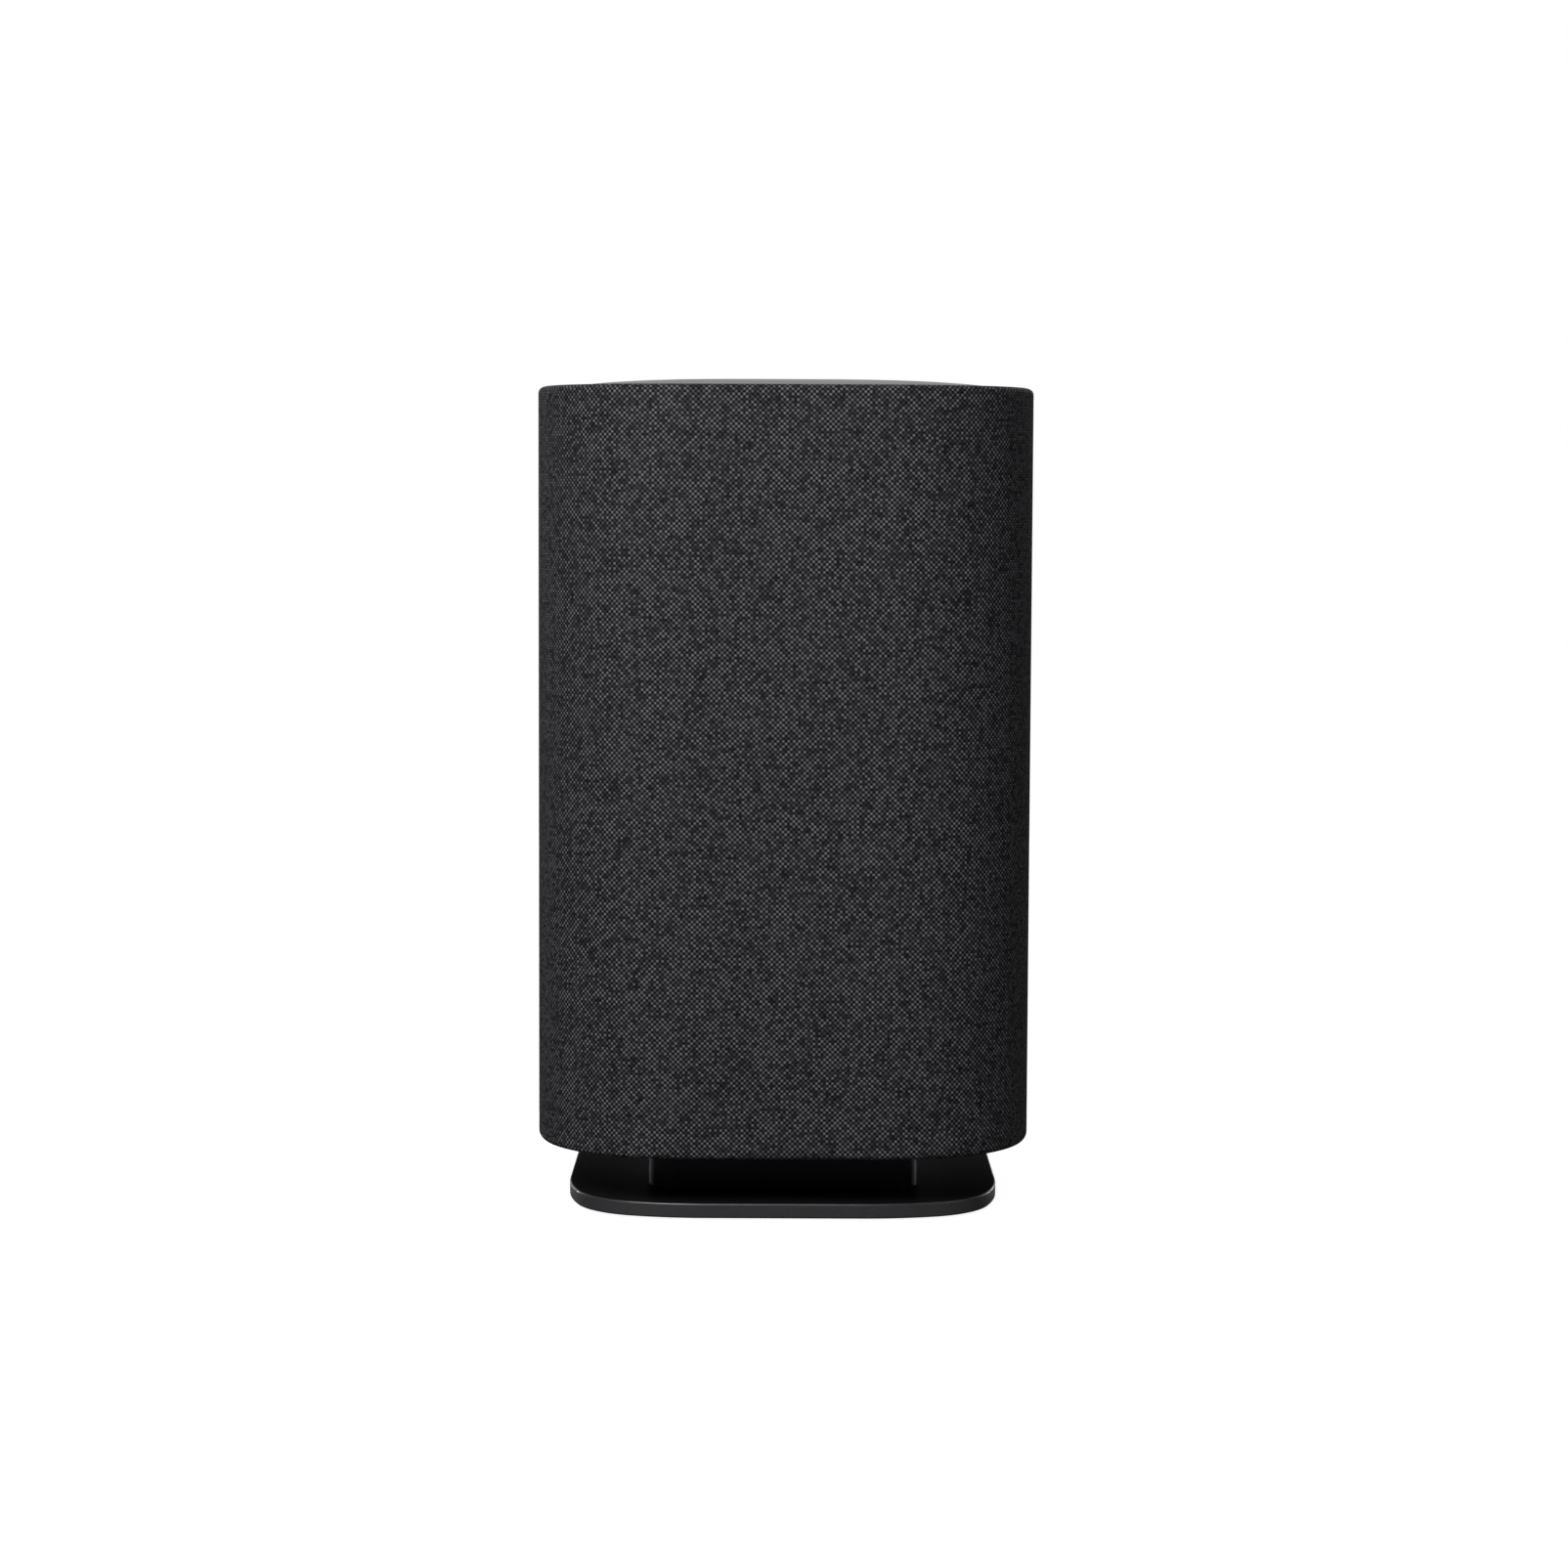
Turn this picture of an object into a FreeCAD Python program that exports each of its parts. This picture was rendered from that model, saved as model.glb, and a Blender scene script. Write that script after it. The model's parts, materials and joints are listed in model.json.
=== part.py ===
import FreeCAD, Part
import math
import os

# A free-standing voice hub: a cloth-covered rounded-square column, held by a neck above a flat base plate.
# Millimetres. X points right, Y back, Z up. The origin is the centre of the foot pad's underside.

V = FreeCAD.Vector
UP, DOWN = V(0, 0, 1), V(0, 0, -1)
BACK, FRONT = V(0, 1, 0), V(0, -1, 0)

# ---- driving dimensions ----
# Base
BASE_W = 122.8            # width and depth of the base plate
BASE_T = 4.2              # thickness of the base plate
BASE_FLAT = 43.5          # straight length of each side, between the corners
BASE_TURN = 17.6          # degrees that each soft arc of a corner turns
BASE_RATIO = 2.86         # soft arc's radius over tight arc's radius
BASE_EDGE_ROUND = 0.5     # rounding of the top edge
BASE_FOOT_ROUND = 0.6     # rounding of the lower edge
PAD_PROUD = 0.8           # how far the foot pad stands below the plate
PAD_RECESS = 0.8          # depth of its seat in the plate
PAD_INSET = 5.0           # plate edge to pad edge
NECK_W = 76.6             # width and depth of the neck
NECK_R = 8.0              # its corner radius
NECK_WALL = 3.0
NECK_ROOF = 2.5           # thickness of its top flange
NECK_GAP = 13.8           # free height between base plate and cloth

# Column
BODY_W = 140.0            # width and depth over the cloth
BODY_H = 213.0            # height of the cloth sleeve
BODY_FLAT = 51.3          # straight length of each side
BODY_TURN = 13.9
BODY_RATIO = 1.69
CLOTH_T = 1.0             # cloth with its backing
CLOTH_TOP_R = 1.8         # rounding of the cloth's top edge
CLOTH_FOOT_R = 1.5        # rounding of its bottom edge
CLOTH_TUCK = 0.2          # how far the cloth goes past the grille frame's inner face at the top
CLOTH_TRAP = 0.5          # how far the bottom cap holds the cloth at the bottom
FRAME_T = 2.2             # wall of the grille frame
SLOT_W, SLOT_H = 6.5, 27.0  # one window of the grille frame
SLOT_PITCH_X, SLOT_PITCH_Z = 10.0, 34.0
CAP_T = 3.0               # bottom cap
FIT = 0.2                 # slip clearance between fixed pieces

# Top
CROWN_RISE = 2.7          # apex of the top panel above the cloth's rim
CROWN_DROP = 3.05         # apex to the middle of the panel's edge
CROWN_POWER = 3.4         # how square the crown is
PANEL_GAP = 0.4           # gap between panel and cloth
PANEL_T = 2.2
SKIRT_T = 1.6             # wall under the panel's edge
TRAY_T = 2.5
BOARD_T = 1.6             # every circuit board
KEY_SPACE = 3.7           # control board to the panel's underside, at the apex
KEY_D, ACTION_KEY_D = 15.0, 20.0
KEY_PITCH = 26.0          # centre key to each other key
KEY_GAP = 0.25            # round each key
KEY_FLANGE = 1.0          # width and thickness of the flange that holds a key in
DOME_H = 1.7              # silicone dome under a key
MARK_W, MARK_DEPTH = 1.0, 0.25
MIC_AT = 30.0             # microphones sit at +- this in X and Y
MIC_HOLE_R = 0.7
LENS_AT, LENS_R = 23.0, 1.5

# Sound box
BOX_GAP = 2.0             # grille frame to sound box
BOX_WALL = 3.0
BOX_HEADROOM = 3.8        # sound box to tray
BAFFLE_SETBACK = 14.0     # cloth's front to baffle's front
BAFFLE_T = 3.0
GASKET_T = 1.0
BAY_DEPTH = 44.0          # cloth's back to sound box's back: the electronics bay
EDGE = 3.0                # least baffle left above, below and between the drivers
DRIVER_GAP = 0.8          # woofer's edge to the baffle screws' heads
WOOFER_LIP = 7.0          # width of the basket's flange
WOOFER_LIP_T = 2.5
SURROUND_W = 7.0          # width of the rubber half roll
SURROUND_GLUE = 0.9       # its flat rim on the flange
CONE_DEPTH = 14.5
COIL_R = 9.85             # outside of the coil former
COIL_GAP = 0.35           # running gap each side of coil and former
MAGNET_R, MAGNET_T = 28.0, 12.0
PLATE_T = 4.0             # front plate of the magnet system
YOKE_T = 5.0
TWEETER_R = 22.0          # face plate
TWEETER_DOME_R = 12.5
TWEETER_DEPTH = 20.0
PORT_WALL, PORT_L = 1.3, 72.0
PORT_CLEAR = 1.45         # port to the neck's side and to the sound box's wall
PORT_FLARE, PORT_FLANGE = 0.9, 1.2

# Rear panel
REAR_W, REAR_H = 48.0, 78.0
REAR_R = 5.0              # corner radius
REAR_FOOT = 11.2          # cloth's bottom edge to the panel's bottom edge
REAR_SINK = 0.8           # cloth's back to the panel's face
REAR_T, REAR_FLANGE_T, REAR_FLANGE = 2.5, 2.0, 3.0
INLET_UP, JACK_UP, SMALL_UP, BUTTON_UP = 15.0, 37.0, 54.0, 67.0  # above the panel's bottom edge
SMALL_X = 9.5             # USB socket on one side, microphone switch on the other
INLET_W, INLET_H, INLET_DEPTH = 21.0, 13.0, 18.0
PIN_R, PIN_PITCH, PIN_CUP_R = 1.2, 8.6, 4.5
PIN_TAIL, PIN_SUNK = 2.0, 3.0  # pin past the inlet's body, and its tip below the panel's face
JACK_W, JACK_H, JACK_DEPTH = 16.0, 13.5, 20.0
USB_W, USB_H, USB_DEPTH, USB_SHELL = 9.0, 3.3, 7.5, 0.35
BUTTON_R, BUTTON_GAP, BUTTON_TRAVEL = 3.0, 0.25, 0.5
SWITCH_W, SWITCH_H, SWITCH_TRAVEL, SWITCH_GAP = 4.0, 3.0, 2.5, 0.3

# ---- places that follow from them ----
PLATE_Z = PAD_PROUD
PLATE_TOP = PLATE_Z + BASE_T
BODY_Z = PLATE_TOP + NECK_GAP
FRAME_Z = BODY_Z + CLOTH_T
RIM_Z = BODY_Z + BODY_H
FRAME_TOP = RIM_Z - CLOTH_T
APEX_Z = RIM_Z + CROWN_RISE
FRAME_IN = CLOTH_T + FRAME_T                 # insets are measured from the cloth's outside
PANEL_IN = FRAME_IN + CLOTH_TUCK + PANEL_GAP
PANEL_EDGE = BODY_W / 2 - PANEL_IN
BOX_IN = FRAME_IN + BOX_GAP
CONTROL_TOP = APEX_Z - PANEL_T - KEY_SPACE   # top face of the control board
CONTROL_Z = CONTROL_TOP - BOARD_T
CONTROL_W = 2 * MIC_AT + 14.0
TRAY_TOP = CONTROL_Z - 2.0
TRAY_Z = TRAY_TOP - TRAY_T
BOX_Z = FRAME_Z + CAP_T
BOX_TOP = TRAY_Z - BOX_HEADROOM
BAFFLE_Y = BAFFLE_SETBACK - BODY_W / 2
BAFFLE_BACK = BAFFLE_Y + BAFFLE_T
BOX_FRONT = BAFFLE_BACK + GASKET_T
BOX_BACK = BODY_W / 2 - BAY_DEPTH
REAR_Y = BODY_W / 2 - REAR_SINK
REAR_IN_Y = REAR_Y - REAR_T - REAR_FLANGE_T
REAR_Z = BODY_Z + REAR_FOOT
IO_Y = REAR_Y - JACK_DEPTH                   # rear face of the socket board
WALL_BOARD_Y = BOX_BACK + 4.0                # front face of the boards on the sound box's back


# ---- shapes ----
def corner_outline(width, flat, turn, ratio, inset, z):
    """A square with soft corners, each of a wide arc, a tight arc and a wide arc, tangent throughout."""
    half, a = width / 2, math.radians(turn)
    reach = half - flat / 2
    tight = reach / (ratio * (math.sin(a) + 1 - math.cos(a)) + math.cos(a) - math.sin(a))
    wide = tight * ratio
    first = V(half - wide, flat / 2, 0)
    second = first + V(math.cos(a), math.sin(a), 0) * (wide - tight)
    third = second - V(math.sin(a), math.cos(a), 0) * (wide - tight)
    quarter = math.pi / 2
    spans = [(first, wide, 0, a), (second, tight, a, quarter - a), (third, wide, quarter - a, quarter)]

    def on(centre, radius, angle):
        return centre + V(math.cos(angle), math.sin(angle), 0) * (radius - inset)

    edges = [Part.LineSegment(V(half - inset, -flat / 2, 0), V(half - inset, flat / 2, 0)).toShape()]
    for centre, radius, start, end in spans:
        points = [on(centre, radius, start + (end - start) * k / 2) for k in range(3)]
        edges.append(Part.Arc(*points).toShape())
    loop = []
    for side in range(4):
        for edge in edges:
            copy = edge.copy()
            copy.rotate(V(0, 0, 0), UP, 90 * side)
            loop.append(copy)
    wire = Part.Wire(loop)
    wire.translate(V(0, 0, z))
    return wire


def body_prism(inset, low, high):
    wire = corner_outline(BODY_W, BODY_FLAT, BODY_TURN, BODY_RATIO, inset, low)
    return Part.Face(wire).extrude(V(0, 0, high - low))


def base_prism(inset, low, high):
    wire = corner_outline(BASE_W, BASE_FLAT, BASE_TURN, BASE_RATIO, inset, low)
    return Part.Face(wire).extrude(V(0, 0, high - low))


def body_half_width(inset, y):
    """Half the width of the column, inset, at the depth y of a corner's tight arc."""
    a = math.radians(BODY_TURN)
    tight = (BODY_W - BODY_FLAT) / 2 / (
        BODY_RATIO * (math.sin(a) + 1 - math.cos(a)) + math.cos(a) - math.sin(a))
    wide = tight * BODY_RATIO
    centre_x = BODY_W / 2 - wide + math.cos(a) * (wide - tight)
    centre_y = BODY_FLAT / 2 + math.sin(a) * (wide - tight)
    return centre_x + math.sqrt((tight - inset) ** 2 - (abs(y) - centre_y) ** 2)


def slab(low, high):
    """A box between two corners."""
    size = V(*high) - V(*low)
    return Part.makeBox(size.x, size.y, size.z, V(*low))


def rod(radius, start, along, length):
    return Part.makeCylinder(radius, length, V(*start), along)


def tube(outer, inner, start, along, length):
    return rod(outer, start, along, length).cut(rod(inner, start, along, length))


def round_wire(width, height, radius):
    """A rectangle with round corners, in the XY plane, centred on the origin."""
    x, y = width / 2 - radius, height / 2 - radius
    edges = []
    for k, (cx, cy) in enumerate([(x, y), (-x, y), (-x, -y), (x, -y)]):
        ring = [V(cx + radius * math.cos(t), cy + radius * math.sin(t), 0)
                for t in (math.pi / 2 * k, math.pi / 2 * (k + 0.5), math.pi / 2 * (k + 1))]
        if edges and (ring[0] - last).Length > 1e-6:
            edges.append(Part.LineSegment(last, ring[0]).toShape())
        edges.append(Part.Arc(*ring).toShape())
        last = ring[2]
    start = V(x + radius, y, 0)
    if (start - last).Length > 1e-6:
        edges.append(Part.LineSegment(last, start).toShape())
    return Part.Wire(edges)


def upright_block(width, depth, radius, low, high, x=0.0, y=0.0):
    """A round-cornered block that stands on its outline."""
    solid = Part.Face(round_wire(width, depth, radius)).extrude(V(0, 0, high - low))
    solid.translate(V(x, y, low))
    return solid


def facing_block(width, height, radius, front, back, x, z):
    """A round-cornered block whose outline is seen from the front or the back."""
    solid = Part.Face(round_wire(width, height, radius)).extrude(V(0, 0, back - front))
    solid.rotate(V(0, 0, 0), V(1, 0, 0), -90)
    solid.translate(V(x, front, z))
    return solid


def turned(profile, z):
    """A closed outline of (radius, y) points, turned about the axis along Y at height z."""
    points = [V(r, y, z) for r, y in profile]
    face = Part.Face(Part.makePolygon(points + points[:1]))
    return face.revolve(V(0, 0, z), BACK, 360)


def hexagon(across, start, along, length):
    angles = [k * math.pi / 3 for k in range(7)]
    ring = [V(math.cos(t), math.sin(t), 0) * (across / math.sqrt(3)) for t in angles]
    solid = Part.Face(Part.makePolygon(ring)).extrude(V(0, 0, length))
    solid.Placement = FreeCAD.Placement(V(*start), FreeCAD.Rotation(UP, along))
    return solid


def screw(start, along, head_r, head_h, shank_r, length, sunk=False):
    """A screw whose head bears at start. A sunk head lies past start, and a pan head before it."""
    seat = V(*start)
    if sunk:
        top, head = seat, Part.makeCone(head_r, shank_r, head_h, seat, along)
    else:
        top = seat - along * head_h
        head = Part.makeCylinder(head_r, head_h, top, along)
    body = head.fuse(Part.makeCylinder(shank_r, length, seat, along))
    return body.cut(hexagon(head_r * 0.8, top, along, head_h * 0.6)).removeSplitter()


def path_wire(points, largest_trim=math.inf):
    """Straight runs joined by tangent arcs, each as large as its runs allow, up to the largest trim."""
    places = [V(*p) for p in points]
    edges, at = [], places[0]
    for before, here, after in zip(places, places[1:], places[2:]):
        back, ahead = before - here, after - here
        trim = min(largest_trim, 0.45 * min(back.Length, ahead.Length))
        start, end = here + back.normalize() * trim, here + ahead.normalize() * trim
        half_turn = (math.pi - back.getAngle(ahead)) / 2
        radius = trim / math.tan(half_turn)
        inward = (back + ahead).normalize()
        middle = here + inward * (radius / math.cos(half_turn) - radius)
        edges += [Part.LineSegment(at, start).toShape(), Part.Arc(start, middle, end).toShape()]
        at = end
    edges.append(Part.LineSegment(at, places[-1]).toShape())
    return Part.Wire(edges)


def lead(points, radius):
    wire = path_wire(points)
    heading = V(*points[1]) - V(*points[0])
    ring = Part.Wire(Part.makeCircle(radius, V(*points[0]), heading))
    return wire.makePipe(Part.Face(ring))


def ribbon(points, width, thickness):
    """A flat cable that runs in the YZ plane, through points of (y, z)."""
    wire = path_wire([(0, y, z) for y, z in points], RIBBON_BEND)
    (y0, z0), (y1, z1) = points[:2]
    flat = Part.Face(round_wire(width, thickness, thickness / 4))
    flat.Placement = FreeCAD.Placement(V(0, y0, z0), FreeCAD.Rotation(UP, V(0, y1 - y0, z1 - z0)))
    return wire.makePipe(flat)


def four(x, y):
    return [(i * x, j * y) for i in (-1, 1) for j in (-1, 1)]


# ---- base ----
BASE_SCREW = {"head_r": 3.2, "head_h": 1.6, "shank_r": 1.6}
BASE_SCREW_L, BASE_BOSS_R = 10.0, 4.5
BASE_SCREW_AT = NECK_W / 2 - NECK_WALL - BASE_BOSS_R - 1.5
NECK_SCREW = {"head_r": 2.8, "head_h": 2.0, "shank_r": 1.5}
NECK_HOLE = 2 * (BASE_SCREW_AT - 6.0)
NECK_SCREW_SPOTS = [(BASE_SCREW_AT, 0), (-BASE_SCREW_AT, 0), (0, BASE_SCREW_AT), (0, -BASE_SCREW_AT)]


def foot_pad():
    return base_prism(PAD_INSET, 0, PAD_PROUD + PAD_RECESS)


def rim_edges(solid, z):
    """The edges of a solid that lie wholly at height z."""
    return [e for e in solid.Edges if all(abs(v.Z - z) < 1e-4 for v in e.Vertexes)]


def base_plate():
    plate = base_prism(0, PLATE_Z, PLATE_TOP)
    plate = plate.makeFillet(BASE_EDGE_ROUND, rim_edges(plate, PLATE_TOP))
    plate = plate.makeFillet(BASE_FOOT_ROUND, rim_edges(plate, PLATE_Z))
    seat = PLATE_Z + PAD_RECESS
    holes = [base_prism(PAD_INSET - FIT, PLATE_Z - 1, seat)]
    for x, y in four(BASE_SCREW_AT, BASE_SCREW_AT):
        holes.append(rod(BASE_SCREW["shank_r"] + FIT, (x, y, PLATE_Z), UP, BASE_T + 1))
        holes.append(Part.makeCone(
            BASE_SCREW["head_r"] + FIT, BASE_SCREW["shank_r"] + FIT, BASE_SCREW["head_h"], V(x, y, seat), UP))
    return plate.cut(holes)


def base_screws():
    seat = PLATE_Z + PAD_RECESS
    return [screw((x, y, seat), UP, length=BASE_SCREW_L, sunk=True, **BASE_SCREW)
            for x, y in four(BASE_SCREW_AT, BASE_SCREW_AT)]


def neck():
    """A round-cornered hollow post with a roof flange and four bosses for the base screws."""
    roof = FRAME_Z - NECK_ROOF
    post = upright_block(NECK_W, NECK_W, NECK_R, PLATE_TOP, FRAME_Z)
    inner_w, inner_r = NECK_W - 2 * NECK_WALL, NECK_R - NECK_WALL
    post = post.cut([upright_block(inner_w, inner_w, inner_r, PLATE_TOP - 1, roof),
                     upright_block(NECK_HOLE, NECK_HOLE, NECK_R, roof - 1, FRAME_Z + 1)])
    post = post.fuse([rod(BASE_BOSS_R, (x, y, PLATE_TOP), UP, roof - PLATE_TOP)
                      for x, y in four(BASE_SCREW_AT, BASE_SCREW_AT)]).removeSplitter()
    depth = BASE_SCREW_L - (BASE_T - PAD_RECESS)
    holes = [rod(BASE_SCREW["shank_r"], (x, y, PLATE_TOP - 1), UP, depth + 1)
             for x, y in four(BASE_SCREW_AT, BASE_SCREW_AT)]
    holes += [rod(NECK_SCREW["shank_r"] + FIT, (x, y, roof - 1), UP, NECK_ROOF + 2)
              for x, y in NECK_SCREW_SPOTS]
    return post.cut(holes)


def neck_screws():
    length = NECK_ROOF + CAP_T + BOX_WALL
    return [screw((x, y, FRAME_Z - NECK_ROOF), UP, length=length, **NECK_SCREW)
            for x, y in NECK_SCREW_SPOTS]


# ---- column shell ----
CAP_SCREW = {"head_r": 3.0, "head_h": 1.5, "shank_r": 1.5}
CAP_SCREW_L = 12.0
CAP_SCREW_OUT, CAP_SCREW_IN = 9.7, 8.3       # outside the neck at the front, and over its roof at the back
PORT_OUT = (BODY_W / 2 - BOX_IN - BOX_WALL - NECK_W / 2) / 2 - PORT_CLEAR
PORT_R = PORT_OUT - PORT_WALL
PORT_X = (NECK_W / 2 + BODY_W / 2 - BOX_IN - BOX_WALL) / 2
PORT_Y = (BOX_FRONT + BOX_BACK) / 2 + 20.0
CAP_SCREW_SPOTS = [(i * x, y) for i in (-1, 1)
                   for x, y in ((NECK_W / 2 + CAP_SCREW_OUT, BOX_FRONT + 14.0),
                                (NECK_W / 2 - CAP_SCREW_IN, BOX_BACK - BOX_WALL - 5.0))]


def bottom_cap():
    cap = body_prism(FRAME_IN + FIT, FRAME_Z, BOX_Z)
    holes = [rod(NECK_SCREW["shank_r"], (x, y, FRAME_Z - 1), UP, CAP_T + 2) for x, y in NECK_SCREW_SPOTS]
    for x, y in CAP_SCREW_SPOTS:
        holes.append(rod(CAP_SCREW["shank_r"] + FIT, (x, y, FRAME_Z - 1), UP, CAP_T + 2))
        holes.append(Part.makeCone(
            CAP_SCREW["head_r"] + FIT, CAP_SCREW["shank_r"] + FIT, CAP_SCREW["head_h"], V(x, y, FRAME_Z), UP))
    holes += [rod(PORT_OUT + FIT / 2, (i * PORT_X, PORT_Y, FRAME_Z - 1), UP, CAP_T + 2) for i in (-1, 1)]
    return cap.cut(holes)


def cap_screws():
    return [screw((x, y, FRAME_Z), UP, length=CAP_SCREW_L, sunk=True, **CAP_SCREW)
            for x, y in CAP_SCREW_SPOTS]


def rear_window(grow, low, high):
    """The rear panel's outline, grown, from one depth to another."""
    width, height = REAR_W + 2 * grow, REAR_H + 2 * grow
    return facing_block(width, height, REAR_R + grow, low, high, 0, REAR_Z + REAR_H / 2)


def grille_slots():
    """Rows of tall windows across the four sides and across the four corners."""
    rows = max(1, int((FRAME_TOP - FRAME_Z - 12) // SLOT_PITCH_Z))
    first = (FRAME_Z + FRAME_TOP) / 2 - (rows - 1) * SLOT_PITCH_Z / 2
    slots = []
    for row in range(rows):
        z = first + row * SLOT_PITCH_Z
        for heading in range(4):
            columns = range(-2, 3) if heading % 2 == 0 else range(-1, 2)
            for column in columns:
                x = column * SLOT_PITCH_X
                slot = facing_block(SLOT_W, SLOT_H, SLOT_W / 2 - 0.25, -BODY_W, BODY_W, x, z)
                slot.rotate(V(0, 0, 0), UP, 45 * heading)
                slots.append(slot)
    return slots


def grille_frame():
    shell = body_prism(CLOTH_T, FRAME_Z, FRAME_TOP).cut(body_prism(FRAME_IN, FRAME_Z - 1, FRAME_TOP + 1))
    border = shell.common(rear_window(6.0, REAR_IN_Y, BODY_W / 2))
    open_shell = shell.cut(grille_slots())
    return open_shell.fuse(border).cut(rear_window(FIT, REAR_IN_Y - 1, BODY_W)).removeSplitter()


def fabric_sleeve():
    """The cloth over the grille frame, turned in over its top edge and under its bottom edge."""
    skin = body_prism(0, BODY_Z, RIM_Z)
    skin = skin.makeFillet(CLOTH_TOP_R, rim_edges(skin, RIM_Z))
    skin = skin.makeFillet(CLOTH_FOOT_R, rim_edges(skin, BODY_Z))
    return skin.cut([body_prism(CLOTH_T, FRAME_Z, FRAME_TOP),
                     body_prism(FRAME_IN + CLOTH_TUCK, FRAME_TOP - 1, RIM_Z + 1),
                     body_prism(FRAME_IN + CLOTH_TRAP, BODY_Z - 1, FRAME_Z + 1),
                     rear_window(FIT, REAR_IN_Y, BODY_W)])


# ---- top ----
TOP_SCREW = {"head_r": 2.6, "head_h": 1.8, "shank_r": 1.4}
TOP_SCREW_L = 7.0
PANEL_BOSS_AT = PANEL_EDGE - 18.5
TRAY_SCREW_SPOTS = [(i * (BODY_W / 2 - 30), y) for i in (-1, 1) for y in (BOX_FRONT + 22, BOX_BACK - 11)]
BOARD_SCREW = {"head_r": 2.0, "head_h": 1.3, "shank_r": 1.1}
BOARD_POST_R = 2.8
CONTROL_POST_AT = CONTROL_W / 2 - 14.0
RIBBON_W, RIBBON_T, RIBBON_BEND = 10.0, 0.3, 5.4
RIBBON_SLOT_Y = max(CONTROL_W / 2 + 8.0, WALL_BOARD_Y + 15.0)
KEYS = {"action": (0, 0, ACTION_KEY_D), "volume_down": (-KEY_PITCH, 0, KEY_D),
        "volume_up": (KEY_PITCH, 0, KEY_D), "mute": (0, KEY_PITCH, KEY_D)}


def crown_height(x, y):
    drop = (abs(x) / PANEL_EDGE) ** CROWN_POWER + (abs(y) / PANEL_EDGE) ** CROWN_POWER
    return APEX_Z - CROWN_DROP * drop


def under_crown(lower_by, depth):
    """What lies under the crowned surface, lowered, down to a depth below it."""
    count, reach = 19, PANEL_EDGE + 3.0
    steps = [-reach + 2 * reach * k / (count - 1) for k in range(count)]
    surface = Part.BSplineSurface()
    surface.interpolate([[V(x, y, crown_height(x, y) - lower_by) for y in steps] for x in steps])
    return surface.toShape().extrude(V(0, 0, -depth))


def panel_underside(x, y, radius):
    """The lowest point of the panel's underside within a radius of a place."""
    return crown_height(abs(x) + radius, abs(y) + radius) - PANEL_T


def top_panel():
    rim = body_prism(PANEL_IN, TRAY_TOP, APEX_Z + 1)
    skin = rim.common(under_crown(0, PANEL_T))
    wall = rim.cut(body_prism(PANEL_IN + SKIRT_T, TRAY_TOP - 1, APEX_Z + 2))
    wall = wall.common(under_crown(0, APEX_Z - TRAY_Z))
    bosses = [rod(3.5, (x, y, TRAY_TOP), UP, 30).common(under_crown(PANEL_T / 2, 30))
              for x, y in four(PANEL_BOSS_AT, PANEL_BOSS_AT)]
    panel = skin.fuse([wall] + bosses).removeSplitter()
    holes = [rod(TOP_SCREW["shank_r"], (x, y, TRAY_TOP - 1), UP, TOP_SCREW_L - TRAY_T + 1)
             for x, y in four(PANEL_BOSS_AT, PANEL_BOSS_AT)]
    holes += [rod(d / 2 + KEY_GAP, (x, y, TRAY_TOP), UP, 30) for x, y, d in KEYS.values()]
    holes += [rod(MIC_HOLE_R, (x, y, CONTROL_TOP), UP, 20) for x, y in four(MIC_AT, MIC_AT)]
    holes.append(rod(LENS_R, (0, -LENS_AT, CONTROL_TOP), UP, 20))
    return panel.cut(holes)


def key_mark(name, x, y):
    """The shallow sign cut into a key: a minus, a plus, a ring, or a dot."""
    low = crown_height(abs(x) + 2, abs(y) + 2) - MARK_DEPTH
    bar = KEY_D * 0.2
    if name == "action":
        return rod(2.0, (x, y, low), UP, 3)
    if name == "mute":
        return tube(bar, bar - MARK_W, (x, y, low), UP, 3)
    across = slab((x - bar, y - MARK_W / 2, low), (x + bar, y + MARK_W / 2, low + 3))
    if name == "volume_down":
        return across
    return across.fuse(slab((x - MARK_W / 2, y - bar, low), (x + MARK_W / 2, y + bar, low + 3)))


def key(name):
    """A cap flush with the crown, a flange that holds it in, and a stem that rests on its dome."""
    x, y, d = KEYS[name]
    flange_r = d / 2 + KEY_FLANGE
    flange_top = panel_underside(x, y, flange_r) - 0.1
    cap = rod(d / 2, (x, y, flange_top - KEY_FLANGE), UP, 20).common(under_crown(0, 20))
    flange = rod(flange_r, (x, y, flange_top - KEY_FLANGE), UP, KEY_FLANGE)
    foot = CONTROL_TOP + DOME_H
    stem = rod(2.0, (x, y, foot), UP, flange_top - foot)
    return cap.fuse([flange, stem]).cut(key_mark(name, x, y)).removeSplitter()


def key_dome(name):
    """A hollow silicone dome with a flat crown, standing on the control board."""
    x, y, _ = KEYS[name]
    low = V(x, y, CONTROL_TOP)
    shell = Part.makeCone(4.5, 2.2, DOME_H, low, UP)
    return shell.cut(Part.makeCone(3.8, 1.5, DOME_H - 0.6, low, UP))


def mic_gaskets():
    height = panel_underside(MIC_AT, MIC_AT, 2.4) - 0.1 - CONTROL_TOP
    return [tube(2.4, MIC_HOLE_R + FIT, (x, y, CONTROL_TOP), UP, height) for x, y in four(MIC_AT, MIC_AT)]


def status_lens():
    """A light pipe from the indicator lamp to the panel's surface."""
    foot = CONTROL_TOP + 1.2
    pipe = rod(LENS_R, (0, -LENS_AT, foot), UP, 20).common(under_crown(0, 20))
    collar_top = panel_underside(0, LENS_AT, LENS_R + 1) - 0.1
    return pipe.fuse(rod(LENS_R + 1, (0, -LENS_AT, collar_top - 1), UP, 1)).removeSplitter()


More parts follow.
